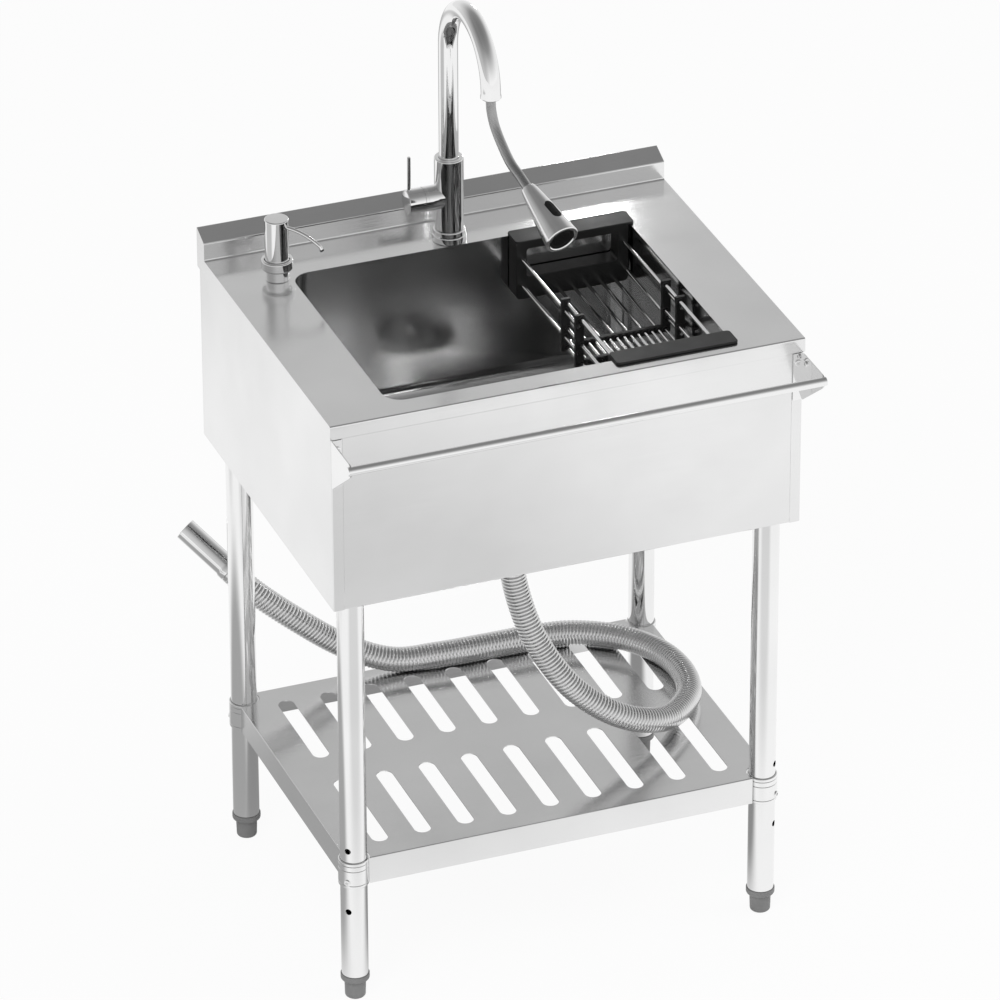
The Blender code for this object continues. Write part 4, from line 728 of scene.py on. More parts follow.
def spray_hose():
    """Sheathed spray hose with a fine spiral, from the spout's mouth to the spray's tail."""
    route, length = smooth_route(SPRAY_ROUTE, SPRAY_HOSE_PITCH / SPRAY_HOSE_STEPS)
    rings = []
    for index, place in enumerate(route_frames(route)):
        station = length * index / (len(route) - 1)
        ring = []
        for side in range(SMALL):
            angle = 2 * math.pi * side / SMALL
            phase = 2 * math.pi * station / SPRAY_HOSE_PITCH - angle
            radius = SPRAY_HOSE_RADIUS - SPRAY_HOSE_GROOVE * (0.5 - 0.5 * math.cos(phase))
            ring.append(place @ Vector((radius * math.cos(angle), radius * math.sin(angle), 0.0)))
        rings.append(ring)
    made = stand_in("spray_hose_sheath", skin("spray_hose_sheath", rings), "spray_hose")


def screw_mesh():
    """Pan-head screw with a cross recess, its head on the plane Z = 0."""
    half = SCREW_HEAD / 2
    head = [(0.0, SCREW_HEAD)] + arc((SCREW_RADIUS - half, half), half, 80, 0) + [(SCREW_RADIUS, -GAP), (0.0, -GAP)]
    long, thin = SCREW_SLOT
    cross = [(long, -thin), (long, thin), (thin, thin), (thin, long), (-thin, long), (-thin, thin),
             (-long, thin), (-long, -thin), (-thin, -thin), (-thin, -long), (thin, -long), (thin, -thin)]
    top = Matrix.Translation((0.0, 0.0, SCREW_HEAD)) @ Matrix.Rotation(SCREW_TURN, 4, "Z")
    recess = plate("recess", [cross], 2 * SCREW_SLOT_DEPTH, top)
    return carved("screw_head", turned("head", head, SMALL), [("DIFFERENCE", recess)])


def screws():
    """Screws through the shelf collars into the legs, and two in each towel bracket."""
    head = screw_mesh()
    for corner in CORNERS:
        place, radius, _, _ = round_box("shelf_collar_" + corner)
        spot = place.translation
        out = Vector((math.copysign(1.0, spot.x), math.copysign(1.0, spot.y), 0.0)).normalized()
        start = spot + out * (radius - GAP) + Vector((0.0, 0.0, SCREW_HEIGHT))
        mesh = head.copy()
        mesh.transform(rod_frame(start, start + out))
        piece("shelf_screw_" + corner, mesh, "polished_steel", "stand")
    for side in ("left", "right"):
        low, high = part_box("towel_bracket_" + side)
        inner_x = low.x if side == "right" else high.x
        outer_x = high.x if side == "right" else low.x
        flange = Vector((inner_x * 0.55 + outer_x * 0.45, high.y - EDGE, high.z - 0.012))
        gusset = Vector((outer_x - math.copysign(EDGE, outer_x), high.y - 0.012, high.z - 0.010))
        inward = Vector((-math.copysign(1.0, outer_x), 0.0, 0.0))
        for name, start, out in (("flange", flange, Vector((0.0, -1.0, 0.0))), ("gusset", gusset, inward)):
            mesh = head.copy()
            mesh.transform(rod_frame(start, start + out))
            piece("bracket_screw_" + name + "_" + side, mesh, "polished_steel", "stand")


def legs():
    """Round leg tubes with their height holes, inserts and levelling feet."""
    for corner in CORNERS:
        place, radius, low, high = round_box("leg_" + corner)
        inner = radius - LEG_WALL
        profile = [(radius, high), (radius, low + SOFT_EDGE), (radius - SOFT_EDGE, low), (inner, low), (inner, high)]
        spot = place.translation
        out = Vector((math.copysign(1.0, spot.x), math.copysign(1.0, spot.y), 0.0)).normalized()
        holes = []
        for step in (-1, 0, 1):
            start = spot + out * inner / 2 + Vector((0.0, 0.0, SCREW_HEIGHT + step * HOLE_PITCH))
            holes.append((start, start + out * radius))
        tube = carved("leg_tube_" + corner, turned("tube", profile, FINE, place, True),
                      [("DIFFERENCE", rods("holes", holes, HOLE_RADIUS, SMALL))])
        stand_in("leg_tube_" + corner, tube, "leg_" + corner)
        collar, outer, bottom, top = round_box("shelf_collar_" + corner)
        groove = []
        for drop in COLLAR_GROOVES:
            groove += [(outer, top - drop + COLLAR_GROOVE), (outer - COLLAR_GROOVE, top - drop),
                       (outer, top - drop - COLLAR_GROOVE)]
        band = ([(COLLAR_BORE, top)] + arc((outer - EDGE, top - EDGE), EDGE, 90, 0) + groove
                + arc((outer - EDGE, bottom + EDGE), EDGE, 0, -90) + [(COLLAR_BORE, bottom)])
        stand_in("shelf_band_" + corner, turned("shelf_band_" + corner, band, FINE, collar, True),
                 "shelf_collar_" + corner)
        flange = arc((INSERT_RADIUS - SOFT_EDGE, INSERT_TOP - SOFT_EDGE), SOFT_EDGE, 90, 0)
        insert = ([(INSERT_PLUG_RADIUS, INSERT_PLUG_TOP), (INSERT_PLUG_RADIUS, INSERT_TOP)] + flange
                  + arc((INSERT_RADIUS - FOOT_EDGE, FOOT_TOP + FOOT_EDGE), FOOT_EDGE, 0, -90)
                  + [(FOOT_STEM_RADIUS + GAP, FOOT_TOP), (FOOT_STEM_RADIUS + GAP, INSERT_PLUG_TOP)])
        stand_in("foot_ring_" + corner, turned("foot_ring_" + corner, insert, FINE, place, True),
                 "foot_insert_" + corner)
        top = FOOT_TOP - GAP
        foot = ([(0.0, FOOT_STEM_TOP), (FOOT_STEM_RADIUS - SOFT_EDGE, FOOT_STEM_TOP),
                 (FOOT_STEM_RADIUS, FOOT_STEM_TOP - SOFT_EDGE), (FOOT_STEM_RADIUS, top)]
                + arc((FOOT_TOP_RADIUS - SOFT_EDGE, top - SOFT_EDGE), SOFT_EDGE, 90, 0)
                + arc((FOOT_BOTTOM_RADIUS - FOOT_EDGE, FOOT_EDGE), FOOT_EDGE, 0, -90) + [(0.0, 0.0)])
        stand_in("foot_cup_" + corner, turned("foot_cup_" + corner, foot, FINE, place), "levelling_foot_" + corner)


def shelf():
    """Slotted shelf tray with turned-down flanges and notches round the collars."""
    low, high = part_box("shelf")
    outline = rounded_rectangle((low.y, low.z - EDGE), (high.y, high.z), EDGE, ARC_STEPS)
    block = plate("block", [outline], high.x - low.x, SIDE_PLANE, SOFT_EDGE)
    room = rounded_rectangle((low.y + SHEET, low.z - high.z), (high.y - SHEET, high.z - SHEET), SHEET, ARC_STEPS)
    hollow = plate("hollow", [room], high.x - low.x - 2 * SHEET, SIDE_PLANE)
    trim = plate("trim", [rounded_rectangle((low.x - 1, low.y - 1), (high.x + 1, high.y + 1), EDGE, 1)], EDGE * 2,
                 Matrix.Translation((0.0, 0.0, low.z - EDGE)))
    slots = []
    for start, end in SLOT_ROWS:
        for index in range(SLOT_COUNT):
            x = (index - (SLOT_COUNT - 1) / 2) * SLOT_PITCH
            slots.append(stadium(x, behind(start), behind(end), SLOT_RADIUS, SLOT_STEPS))
    cuts = plate("slots", slots, (high.z - low.z) / 2, Matrix.Translation((0.0, 0.0, high.z)))
    notches = []
    for corner in CORNERS:
        collar, radius, _, _ = round_box("shelf_collar_" + corner)
        spot = collar.translation
        notches.append((spot + Vector((0.0, 0.0, low.z - EDGE)), spot + Vector((0.0, 0.0, high.z + EDGE))))
    corners = rods("notches", notches, radius + 2 * GAP, FINE)
    tray = carved("shelf_tray", block, [("DIFFERENCE", trim), ("DIFFERENCE", hollow), ("DIFFERENCE", cuts),
                                        ("DIFFERENCE", corners)])
    stand_in("shelf_tray", tray, "shelf")


def bowl():
    """Pressed bowl with full corner and floor curves, falling to the drain."""
    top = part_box("bowl")[1].z

    def ring(inset, height):
        wide = BOWL_HALF + GAP - inset
        low = (-wide, behind(BOWL_NEAR - GAP + inset))
        high = (wide, behind(BOWL_FAR + GAP - inset))
        radius = max(BOWL_CORNER - inset, BOWL_LEAST_CORNER)
        return [Vector((x, y, height)) for x, y in rounded_rectangle(low, high, radius, BOWL_STEPS)]

    def drain_ring(radius, height):
        count = 4 * (BOWL_STEPS + 1)
        turns = [math.pi * (2 * index + 1) / count for index in range(count)]
        middle = behind((BOWL_NEAR + BOWL_FAR) / 2)
        return [Vector((radius * math.cos(a), middle + radius * math.sin(a), height)) for a in turns]

    def side(out):
        rings = [ring(-BOWL_FLANGE, top - out), ring(-out, top - out)]
        for step in range(BOWL_STEPS + 1):
            angle = step / BOWL_STEPS * math.pi / 2
            reach = BOWL_FILLET + out
            rings.append(ring(BOWL_FILLET - reach * math.cos(angle), BOWL_FLOOR + BOWL_FILLET - reach * math.sin(angle)))
        rings.append(drain_ring(DRAIN_SEAT_RADIUS, DRAIN_SEAT - out))
        rings.append(drain_ring(DRAIN_HOLE_RADIUS, DRAIN_SEAT - out))
        return rings

    # Its bowl_steel finish is darker than the other steels as painted shade
    stand_in("bowl_pressed", skin("bowl_pressed", side(0.0) + side(BOWL_SHEET)[::-1], True), "bowl")


def drain():
    """Strainer cup with a rolled lip, and its lift-out basket with round holes."""
    place = upright((0.0, (BOWL_NEAR + BOWL_FAR) / 2))
    seat = DRAIN_SEAT + GAP
    cup = DRAIN_CUP_RADIUS
    tail = DRAIN_TAIL_RADIUS
    cup_floor = seat - DRAIN_CUP_DEPTH
    shoulder = cup_floor - DRAIN_CONE
    end = seat - DRAIN_LENGTH
    inner = cup - DRAIN_WALL
    lip = DRAIN_LIP_HEIGHT
    profile = ([(inner, seat + lip - SOFT_EDGE), (inner + SOFT_EDGE, seat + lip), (cup + EDGE, seat + lip),
                (DRAIN_LIP_RADIUS - SOFT_EDGE, seat + SOFT_EDGE), (DRAIN_LIP_RADIUS, seat), (cup, seat),
                (cup, cup_floor), (tail, shoulder), (tail, end), (tail - DRAIN_WALL, end),
                (tail - DRAIN_WALL, shoulder + DRAIN_WALL), (inner, cup_floor + DRAIN_WALL)])
    stand_in("strainer_cup", turned("strainer_cup", profile, FINE, place, True), "drain_flange")
    low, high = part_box("strainer_basket")
    rim = seat - 0.004
    wall = BASKET_RADIUS - BASKET_WALL
    floor = low.z + BASKET_WALL
    knob = arc((0.0045, high.z - EDGE), EDGE, 90, 0)
    basket = ([(0.0, high.z)] + knob + [(0.006, seat), (0.003, rim), (0.003, floor), (wall, floor),
              (wall, rim - GAP), (wall + GAP, rim), (BASKET_RADIUS - GAP, rim), (BASKET_RADIUS, rim - GAP),
              (BASKET_RADIUS, low.z + EDGE), (BASKET_RADIUS - EDGE, low.z), (0.0, low.z)])
    holes = []
    for x, y in circle(place.translation.xy, BASKET_HOLE_CIRCLE, BASKET_HOLES):
        holes.append((Vector((x, y, low.z - EDGE)), Vector((x, y, floor + EDGE))))
    cuts = rods("holes", holes, BASKET_HOLE_RADIUS, SMALL)
    stand_in("strainer_sieve", carved("strainer_sieve", turned("basket", basket, FINE, place), [("DIFFERENCE", cuts)]),
             "strainer_basket")


def towel_rail():
    """Round rail with eased ends."""
    low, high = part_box("towel_bar")
    middle = (low + high) / 2
    ends = [(Vector((low.x, middle.y, middle.z)), Vector((high.x, middle.y, middle.z)))]
    stand_in("towel_rail", rods("towel_rail", ends, (high.y - low.y) / 2, ROUND, SOFT_EDGE), "towel_bar")


def tap():
    """Mixer body with its side valve, base ring, lever cap and lever."""
    place = upright(TAP)
    _, ring_radius, base, ring_top = round_box("faucet_base_ring")
    bore = 0.0118
    band = ring_radius - 0.001
    step = ring_top - 0.007
    ring = ([(bore, ring_top)] + arc((band - EDGE, ring_top - EDGE), EDGE, 90, 0)
            + [(band, step + 0.0012), (band - GAP, step + 0.0009)] + arc((ring_radius - EDGE, step - EDGE), EDGE, 75, 0)
            + [(ring_radius, base + SOFT_EDGE), (ring_radius - SOFT_EDGE, base), (bore, base)])
    stand_in("tap_base_ring", turned("tap_base_ring", ring, FINE, place, True), "faucet_base_ring")
    lip = SPOUT_RADIUS + GAP
    body = ([(0.0, SPOUT_SEAT), (lip, SPOUT_SEAT), (lip, TAP_TOP - SOFT_EDGE), (lip + SOFT_EDGE, TAP_TOP)]
            + arc((TAP_RADIUS - EDGE, TAP_TOP - EDGE), EDGE, 90, 0)
            + [(TAP_RADIUS, TAP_LOW + SOFT_EDGE), (TAP_RADIUS - SOFT_EDGE, TAP_LOW), (0.0, TAP_LOW)])
    along_x = Matrix.Translation((0.0, behind(TAP[1]), VALVE_HEIGHT)) @ Matrix.Rotation(math.pi / 2, 4, "Y")
    seam = VALVE_SEAM_X + 0.004
    housing = [(0.0, VALVE_ROOT_X), (VALVE_RADIUS, VALVE_ROOT_X), (VALVE_RADIUS, seam + GAP),
               (VALVE_RADIUS - GAP, seam), (VALVE_RADIUS, seam - GAP), (VALVE_RADIUS, VALVE_SEAM_X + GAP),
               (VALVE_RADIUS - GAP, VALVE_SEAM_X), (0.0, VALVE_SEAM_X)]
    ball = VALVE_BALL + GAP
    widest = math.degrees(math.acos(VALVE_ROOM / ball))
    socket = ([(0.0, VALVE_DEEP_X), (VALVE_ROOM, VALVE_DEEP_X)]
              + arc((0.0, VALVE_PIVOT_X), ball, widest, 0, BALL_STEPS) + [(0.0, VALVE_PIVOT_X)])
    mixer = carved("tap_body", turned("body", body, FINE, place),
                   [("UNION", turned("housing", housing, FINE, along_x)),
                    ("DIFFERENCE", turned("socket", socket, FINE, along_x))])
    stand_in("tap_body", mixer, "faucet_body")
    edge = math.degrees(math.acos(VALVE_RADIUS / VALVE_BALL))
    brim = VALVE_END_X + CAP_DOME
    cap = ([(0.0, VALVE_PIVOT_X + VALVE_BALL)] + arc((0.0, VALVE_PIVOT_X), VALVE_BALL, 87, edge, BALL_STEPS)
           + arc((VALVE_RADIUS - SOFT_EDGE, brim + SOFT_EDGE), SOFT_EDGE, 0, -90)
           + [(CAP_DISC_RADIUS + GAP, brim), (CAP_DISC_RADIUS + GAP, brim + SOFT_EDGE), (0.0, brim + SOFT_EDGE)])
    bulge = (CAP_DISC_RADIUS ** 2 + CAP_DOME ** 2) / (2 * CAP_DOME)
    lean = math.degrees(math.asin(CAP_DISC_RADIUS / bulge))
    disc = ([(0.0, brim + SOFT_EDGE), (CAP_DISC_RADIUS, brim + SOFT_EDGE)]
            + arc((0.0, VALVE_END_X + bulge), bulge, lean - 90, -89, BALL_STEPS) + [(0.0, VALVE_END_X)])
    piece("tap_cap_disc", turned("tap_cap_disc", disc, FINE, along_x), "satin_nickel", BODIES["faucet_handle"])
    low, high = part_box("handle_lever")
    radius = (high.x - low.x) / 2
    foot = Vector((LEVER_X, behind(TAP[1]), low.z))
    tip = Vector((LEVER_X, behind(TAP[1]), high.z))
    hole = rods("hole", [(foot - Vector((0.0, 0.0, GAP)), tip)], radius + GAP, SMALL)
    handle = carved("tap_handle", turned("cap", cap, FINE, along_x), [("DIFFERENCE", hole)])
    stand_in("tap_handle", handle, "faucet_handle")
    stand_in("tap_lever", rods("tap_lever", [(foot, tip)], radius, SMALL, SOFT_EDGE), "handle_lever")


def spout():
    """Gooseneck pipe with a rolled mouth that the spray hose leaves by."""
    near = TAP[1] - 2 * SPOUT_ARC_RADIUS
    route = [placed((*TAP, SPOUT_SEAT + GAP)), placed((*TAP, TAP_TOP)), placed((*TAP, SPOUT_ARC_HEIGHT - EDGE))]
    for step in range(SPOUT_STEPS + 1):
        angle = math.pi * step / SPOUT_STEPS
        along = TAP[1] - SPOUT_ARC_RADIUS * (1 - math.cos(angle))
        route.append(placed((TAP[0], along, SPOUT_ARC_HEIGHT + SPOUT_ARC_RADIUS * math.sin(angle))))
    radii = [SPOUT_RADIUS] * len(route)
    wide = SPOUT_RADIUS + SPOUT_FLARE
    mouth = [(wide, SPOUT_MOUTH + 0.0030), (wide, SPOUT_MOUTH + SOFT_EDGE), (wide - SOFT_EDGE, SPOUT_MOUTH),
             (SPOUT_BORE + SOFT_EDGE, SPOUT_MOUTH), (SPOUT_BORE, SPOUT_MOUTH + SOFT_EDGE),
             (SPOUT_BORE, SPOUT_MOUTH + SPOUT_BORE_DEPTH)]
    frames = route_frames(route)
    last = frames[-1]
    for radius, height in mouth:
        spot = placed((TAP[0], near, height))
        frames.append(Matrix.Translation(spot) @ last.to_3x3().to_4x4())
        radii.append(radius)
    stand_in("tap_spout", skin("tap_spout", tube_rings(frames, radii, FINE)), "faucet_spout")


def spray_radius(station):
    """Outer radius of the spray at a distance from its tail."""
    share = station / SPRAY_LENGTH
    cone = SPRAY_TAIL_RADIUS + (SPRAY_FRONT_RADIUS - SPRAY_TAIL_RADIUS) * share
    return cone + 4 * SPRAY_CROWN * share * (1 - share)


def spray():
    """Satin spray shell, its nozzle face with rubber nubs, and its rocker."""
    back = -Vector(SPRAY_AXIS).normalized()
    up = (Vector((0.0, 0.0, 1.0)) - back * back.z).normalized()
    up.rotate(Quaternion(back, SPRAY_ROLL))
    turn = Matrix((up, back.cross(up), back)).transposed().to_4x4()
    place = Matrix.Translation(placed(SPRAY_TAIL)) @ turn
    steps = [SPRAY_LENGTH * step / SPRAY_STATIONS for step in range(1, SPRAY_STATIONS)]

    def outline(proud):
        tail = arc((SPRAY_TAIL_RADIUS - EDGE + proud, -EDGE - GAP), EDGE, 90, 0)
        return [(0.0, -GAP)] + tail + [(spray_radius(station) + proud, -station) for station in steps]

    front = -SPRAY_LENGTH
    recess = SPRAY_FACE_RADIUS + GAP
    pocket = front + SPRAY_FACE_RECESS + SPRAY_FACE_THICKNESS + GAP
    rim = (arc((SPRAY_FRONT_RADIUS - SPRAY_RIM, front + SPRAY_RIM), SPRAY_RIM, 0, -90)
           + [(recess + SPRAY_FACE_CHAMFER, front), (recess, front + SPRAY_FACE_CHAMFER), (recess, pocket), (0.0, pocket)])
    reach = BUTTON_LENGTH / 2
    climb = spray_radius(BUTTON_STATION + reach) - spray_radius(BUTTON_STATION - reach)
    lean = Matrix.Rotation(-math.atan2(climb, BUTTON_LENGTH), 4, "Y")
    seat = place @ Matrix.Translation((spray_radius(BUTTON_STATION), 0.0, -BUTTON_STATION)) @ lean
    grown = reach + BUTTON_CLEARANCE
    room = stadium(0.0, -grown, grown, BUTTON_WIDTH / 2 + BUTTON_CLEARANCE, SLOT_STEPS)
    hollow = plate("pocket", [room], 2 * BUTTON_POCKET_DEPTH, seat @ SIDE_PLANE)
    shell = carved("spray_shell", turned("shell", outline(0.0) + rim, FINE, place), [("DIFFERENCE", hollow)])
    stand_in("spray_shell", shell, "spray_head")
    face_back = pocket - GAP
    face = face_back - SPRAY_FACE_THICKNESS
    wide = SPRAY_FACE_RADIUS
    disc = [(0.0, face_back), (wide, face_back), (wide, face + SOFT_EDGE), (wide - SOFT_EDGE, face),
            (wide - 0.0030, face), (wide - 0.0034, face + 0.0005), (wide - 0.0040, face + 0.0005),
            (wide - 0.0044, face), (0.0, face)]
    work = bmesh.new()
    for radius, count in NUB_RINGS:
        for x, y in circle((0.0, 0.0), radius, count):
            spot = place @ Matrix.Translation((x, y, face + GAP))
            nub = [(0.0, 0.0), (NUB_RADIUS, 0.0), (NUB_RADIUS * 0.7, -NUB_HEIGHT), (0.0, -NUB_HEIGHT)]
            add_turned(work, nub, TINY, spot, False)
    nubs = tidied(work, "nubs")
    nozzles = carved("spray_nozzles", turned("disc", disc, FINE, place), [("UNION", nubs)])
    refinished(stand_in("spray_nozzles", nozzles, "spray_face"), "spray_black")
    crown = turned("crown", outline(BUTTON_PROUD) + [(SPRAY_FRONT_RADIUS, front), (0.0, front)], FINE, place)
    sunk = Matrix.Translation((BUTTON_PROUD - BUTTON_THICKNESS / 2, 0.0, 0.0))
    blank = plate("blank", [stadium(0.0, -reach, reach, BUTTON_WIDTH / 2, SLOT_STEPS)], BUTTON_THICKNESS,
                  seat @ sunk @ SIDE_PLANE)
    marks = []
    for along in (-0.0075, 0.0075):
        start = seat @ Vector((-BUTTON_THICKNESS / 2, 0.0, along))
        marks.append((start, seat @ Vector((BUTTON_PROUD + 0.0003, 0.0, along))))
    rocker = carved("spray_rocker", blank, [("INTERSECT", crown), ("UNION", rods("marks", marks, 0.0017, SMALL, GAP))])
    refinished(stand_in("spray_rocker", rocker, "spray_button"), "spray_black")


def soap_pump():
    """Soap collar with its well, and the pump head with a drooping open nozzle and a black ring at its mouth that is
    painted shade.
    """
    place = upright(SOAP)
    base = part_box("faucet_base_ring")[0].z
    low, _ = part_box("soap_collar")
    ease = SOAP_RING_EASE
    collar = ([(SOAP_WELL_RADIUS, SOAP_RING_TOP - SOFT_EDGE), (SOAP_WELL_RADIUS + SOFT_EDGE, SOAP_RING_TOP)]
              + arc((SOAP_RING_RADIUS - EDGE, SOAP_RING_TOP - EDGE), EDGE, 90, 0)
              + arc((SOAP_RING_RADIUS - ease, SOAP_RING_LOW + ease), ease, 0, -70)
              + [(SOAP_NECK_RADIUS, SOAP_RING_LOW - SOFT_EDGE), (SOAP_NECK_RADIUS, base + SOFT_EDGE),
                 (SOAP_NECK_RADIUS + SOFT_EDGE, base), (SOAP_THREAD_RADIUS, base), (SOAP_THREAD_RADIUS, low.z),
                 (PUMP_STEM_BORE, low.z), (PUMP_STEM_BORE, SOAP_WELL_FLOOR), (SOAP_WELL_RADIUS, SOAP_WELL_FLOOR)])
    stand_in("soap_ring", turned("soap_ring", collar, FINE, place, True), "soap_collar")
    bottom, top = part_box("pump_head")
    radius = 0.0148
    head = ([(0.0, top.z)] + arc((radius - EDGE, top.z - EDGE), EDGE, 90, 0)
            + [(radius, bottom.z + SOFT_EDGE), (radius - SOFT_EDGE, bottom.z), (PUMP_STEM_BORE, bottom.z),
               (PUMP_STEM_BORE, PUMP_STEM_TOP), (0.0, PUMP_STEM_TOP)])
    heading = Vector((1.0, -1.0, 0.0)).normalized()
    root = placed((*SOAP, NOZZLE_HEIGHT))
    route = []
    for step in range(NOZZLE_STEPS + 1):
        share = step / NOZZLE_STEPS
        reach = NOZZLE_REACH[0] + (NOZZLE_REACH[1] - NOZZLE_REACH[0]) * share
        route.append(root + heading * reach - Vector((0.0, 0.0, NOZZLE_DROOP * share ** NOZZLE_BEND)))
    forward, down = NOZZLE_TIP
    tip = route[-1] + heading * forward - Vector((0.0, 0.0, down))
    route.append(tip)
    pipe = skin("nozzle", tube_rings(route_frames(route), [NOZZLE_RADIUS] * len(route), SMALL))
    hole = rods("hole", [(route[-2], tip + (tip - route[-2]))], NOZZLE_BORE, TINY)
    pump = carved("soap_head", turned("head", head, FINE, place), [("UNION", pipe), ("DIFFERENCE", hole)])
    stand_in("soap_head", pump, "pump_head")
    # Black ring at the nozzle's mouth: painted shade, a dark band that stands for the shadowed open bore
    along = (tip - route[-2]).normalized()
    shade_ring = [(NOZZLE_BORE, 0.0), (NOZZLE_RADIUS + GAP / 2, 0.0), (NOZZLE_RADIUS + GAP / 2, NOZZLE_TIP_LENGTH),
                (NOZZLE_BORE, NOZZLE_TIP_LENGTH)]
    start = tip - along * (NOZZLE_TIP_LENGTH - GAP / 2)
    piece("soap_tip_shade_ring", turned("soap_tip_shade_ring", shade_ring, SMALL, rod_frame(start, tip), True), "black_plastic",
          BODIES["pump_head"])


def rack_sides(inset):
    """X on the left and right sides of the rack, a little in from its edges."""
    return RACK_LEFT + inset, RACK_RIGHT - inset


def rack_rods():
    """(x, z) of the rear half's rods and of the front half's."""
    first = RACK_LEFT + FRONT_RAIL_INSET
    pitch = (RACK_RIGHT - FRONT_RAIL_INSET - first) / FLOOR_GAPS
    front = [(first + pitch * index, FLOOR_HEIGHT) for index in range(FLOOR_GAPS + 1)]
    rear = [(x + pitch / 2, z) for x, z in front[:-1]]
    rear += [(x, z) for x in rack_sides(REAR_RAIL_INSET) for z in REAR_RAILS]
    front += [(x, z) for x in rack_sides(FRONT_RAIL_INSET) for z in FRONT_RAILS]
    return rear, front


def rack_frame(node, face, back, edge):
    """End frame with eased edges: a windowed panel under a flange that rests on the rim."""
    panel = rounded_rectangle((RACK_LEFT, RACK_BOTTOM), (RACK_RIGHT, RACK_TOP - RACK_FLANGE_LAP), RACK_CORNER, ARC_STEPS)
    left, right = rack_sides(RACK_UPRIGHT)
    window = rounded_rectangle((left, RACK_WINDOW[0]), (right, RACK_WINDOW[1]), RACK_WINDOW_CORNER, ARC_STEPS)
    middle = Matrix.Translation((0.0, behind((face + back) / 2), 0.0))
    block = plate("panel", [panel, window], abs(back - face), middle @ FACE_PLANE, RACK_EASE)
    half = BOWL_HALF - RACK_CLEARANCE
    inside = rounded_rectangle((-half, behind(BOWL_NEAR + RACK_CLEARANCE)), (half, behind(BOWL_FAR - RACK_CLEARANCE)),
                               BOWL_CORNER, BOWL_STEPS)
    room = plate("room", [inside], 0.2, Matrix.Translation((0.0, 0.0, RACK_BOTTOM)))
    near, far = sorted((behind(face), behind(edge)))
    rim = rounded_rectangle((RACK_LEFT, near), (RACK_FLANGE_RIGHT, far), RACK_FLANGE_CORNER, ARC_STEPS)
    flange = plate("flange", [rim], RACK_FLANGE_THICKNESS,
                   Matrix.Translation((0.0, 0.0, RACK_TOP - RACK_FLANGE_THICKNESS / 2)), RACK_EASE)
    name = node.replace("frame", "holder")
    stand_in(name, carved(name, block, [("INTERSECT", room), ("UNION", flange)]), node)


def rack_slider(node, middle, spots):
    """U-shaped slider with a boss round each rod that runs in it."""
    left, right = rack_sides(SLIDER_INSET)
    low, high = SLIDER_FLOOR
    arm_left = left + SLIDER_WIDTH
    arm_right = right - SLIDER_WIDTH
    outline = [(left, low), (right, low), (right, SLIDER_TOP), (arm_right, SLIDER_TOP), (arm_right, high),
               (arm_left, high), (arm_left, SLIDER_TOP), (left, SLIDER_TOP)]
    web = plate("web", [outline], SLIDER_DEPTH, Matrix.Translation((0.0, behind(middle), 0.0)) @ FACE_PLANE, RACK_EASE)

    def through(reach):
        return [(placed((x, middle - reach, z)), placed((x, middle + reach, z))) for x, z in spots]

    bosses = rods("bosses", through(SLIDER_BOSS_LENGTH / 2), SLIDER_BOSS, TINY, GAP)
    holes = rods("holes", through(SLIDER_BOSS_LENGTH), SLIDER_HOLE, TINY)
    name = node.replace("slider", "runner")
    stand_in(name, carved(name, web, [("UNION", bosses), ("DIFFERENCE", holes)]), node)


def rack():
    """Two telescoping halves of the dish rack: holders, wires and runners."""
    rear_spots, front_spots = rack_rods()
    for node, (face, back, edge) in RACK_FRAMES.items():
        rack_frame(node, face, back, edge)
    for node, middle in SLIDER_MIDDLES.items():
        rack_slider(node, middle, rear_spots + front_spots)
    for half, spots in (("rear", rear_spots), ("front", front_spots)):
        face = RACK_FRAMES["rack_" + half + "_frame"][0]
        inward = -1.0 if half == "rear" else 1.0
        start = face - inward * ROD_SEAT
        end = SLIDER_MIDDLES["rack_" + half + "_slider"] + inward * SLIDER_DEPTH / 2
        ends = [(placed((x, start, z)), placed((x, end, z))) for x, z in spots]
        name = "rack_" + half + "_wires"
        stand_in(name, rods(name, ends, ROD_RADIUS, TINY, GAP), "rack_" + half + "_rods")


def painted_shadow_pool(tree, place, middle, reach, depth):
    """Soft painted shadow oval on the floor, as a factor that is 1 outside it."""
    offset = wire(tree, "ShaderNodeVectorMath", {0: place, 1: (*middle, 0.0)}, operation="SUBTRACT")
    scaled = wire(tree, "ShaderNodeVectorMath", {0: offset.outputs["Vector"], 1: (*reach, 1.0)}, operation="DIVIDE")
    away = wire(tree, "ShaderNodeVectorMath", {0: scaled.outputs["Vector"]}, operation="LENGTH")
    level = wire(tree, "ShaderNodeMapRange", {"Value": away.outputs["Value"], "From Min": 0.55, "From Max": 1.1,
                                              "To Min": 1.0 - depth, "To Max": 1.0}, interpolation_type="SMOOTHSTEP")
    return level.outputs["Result"]


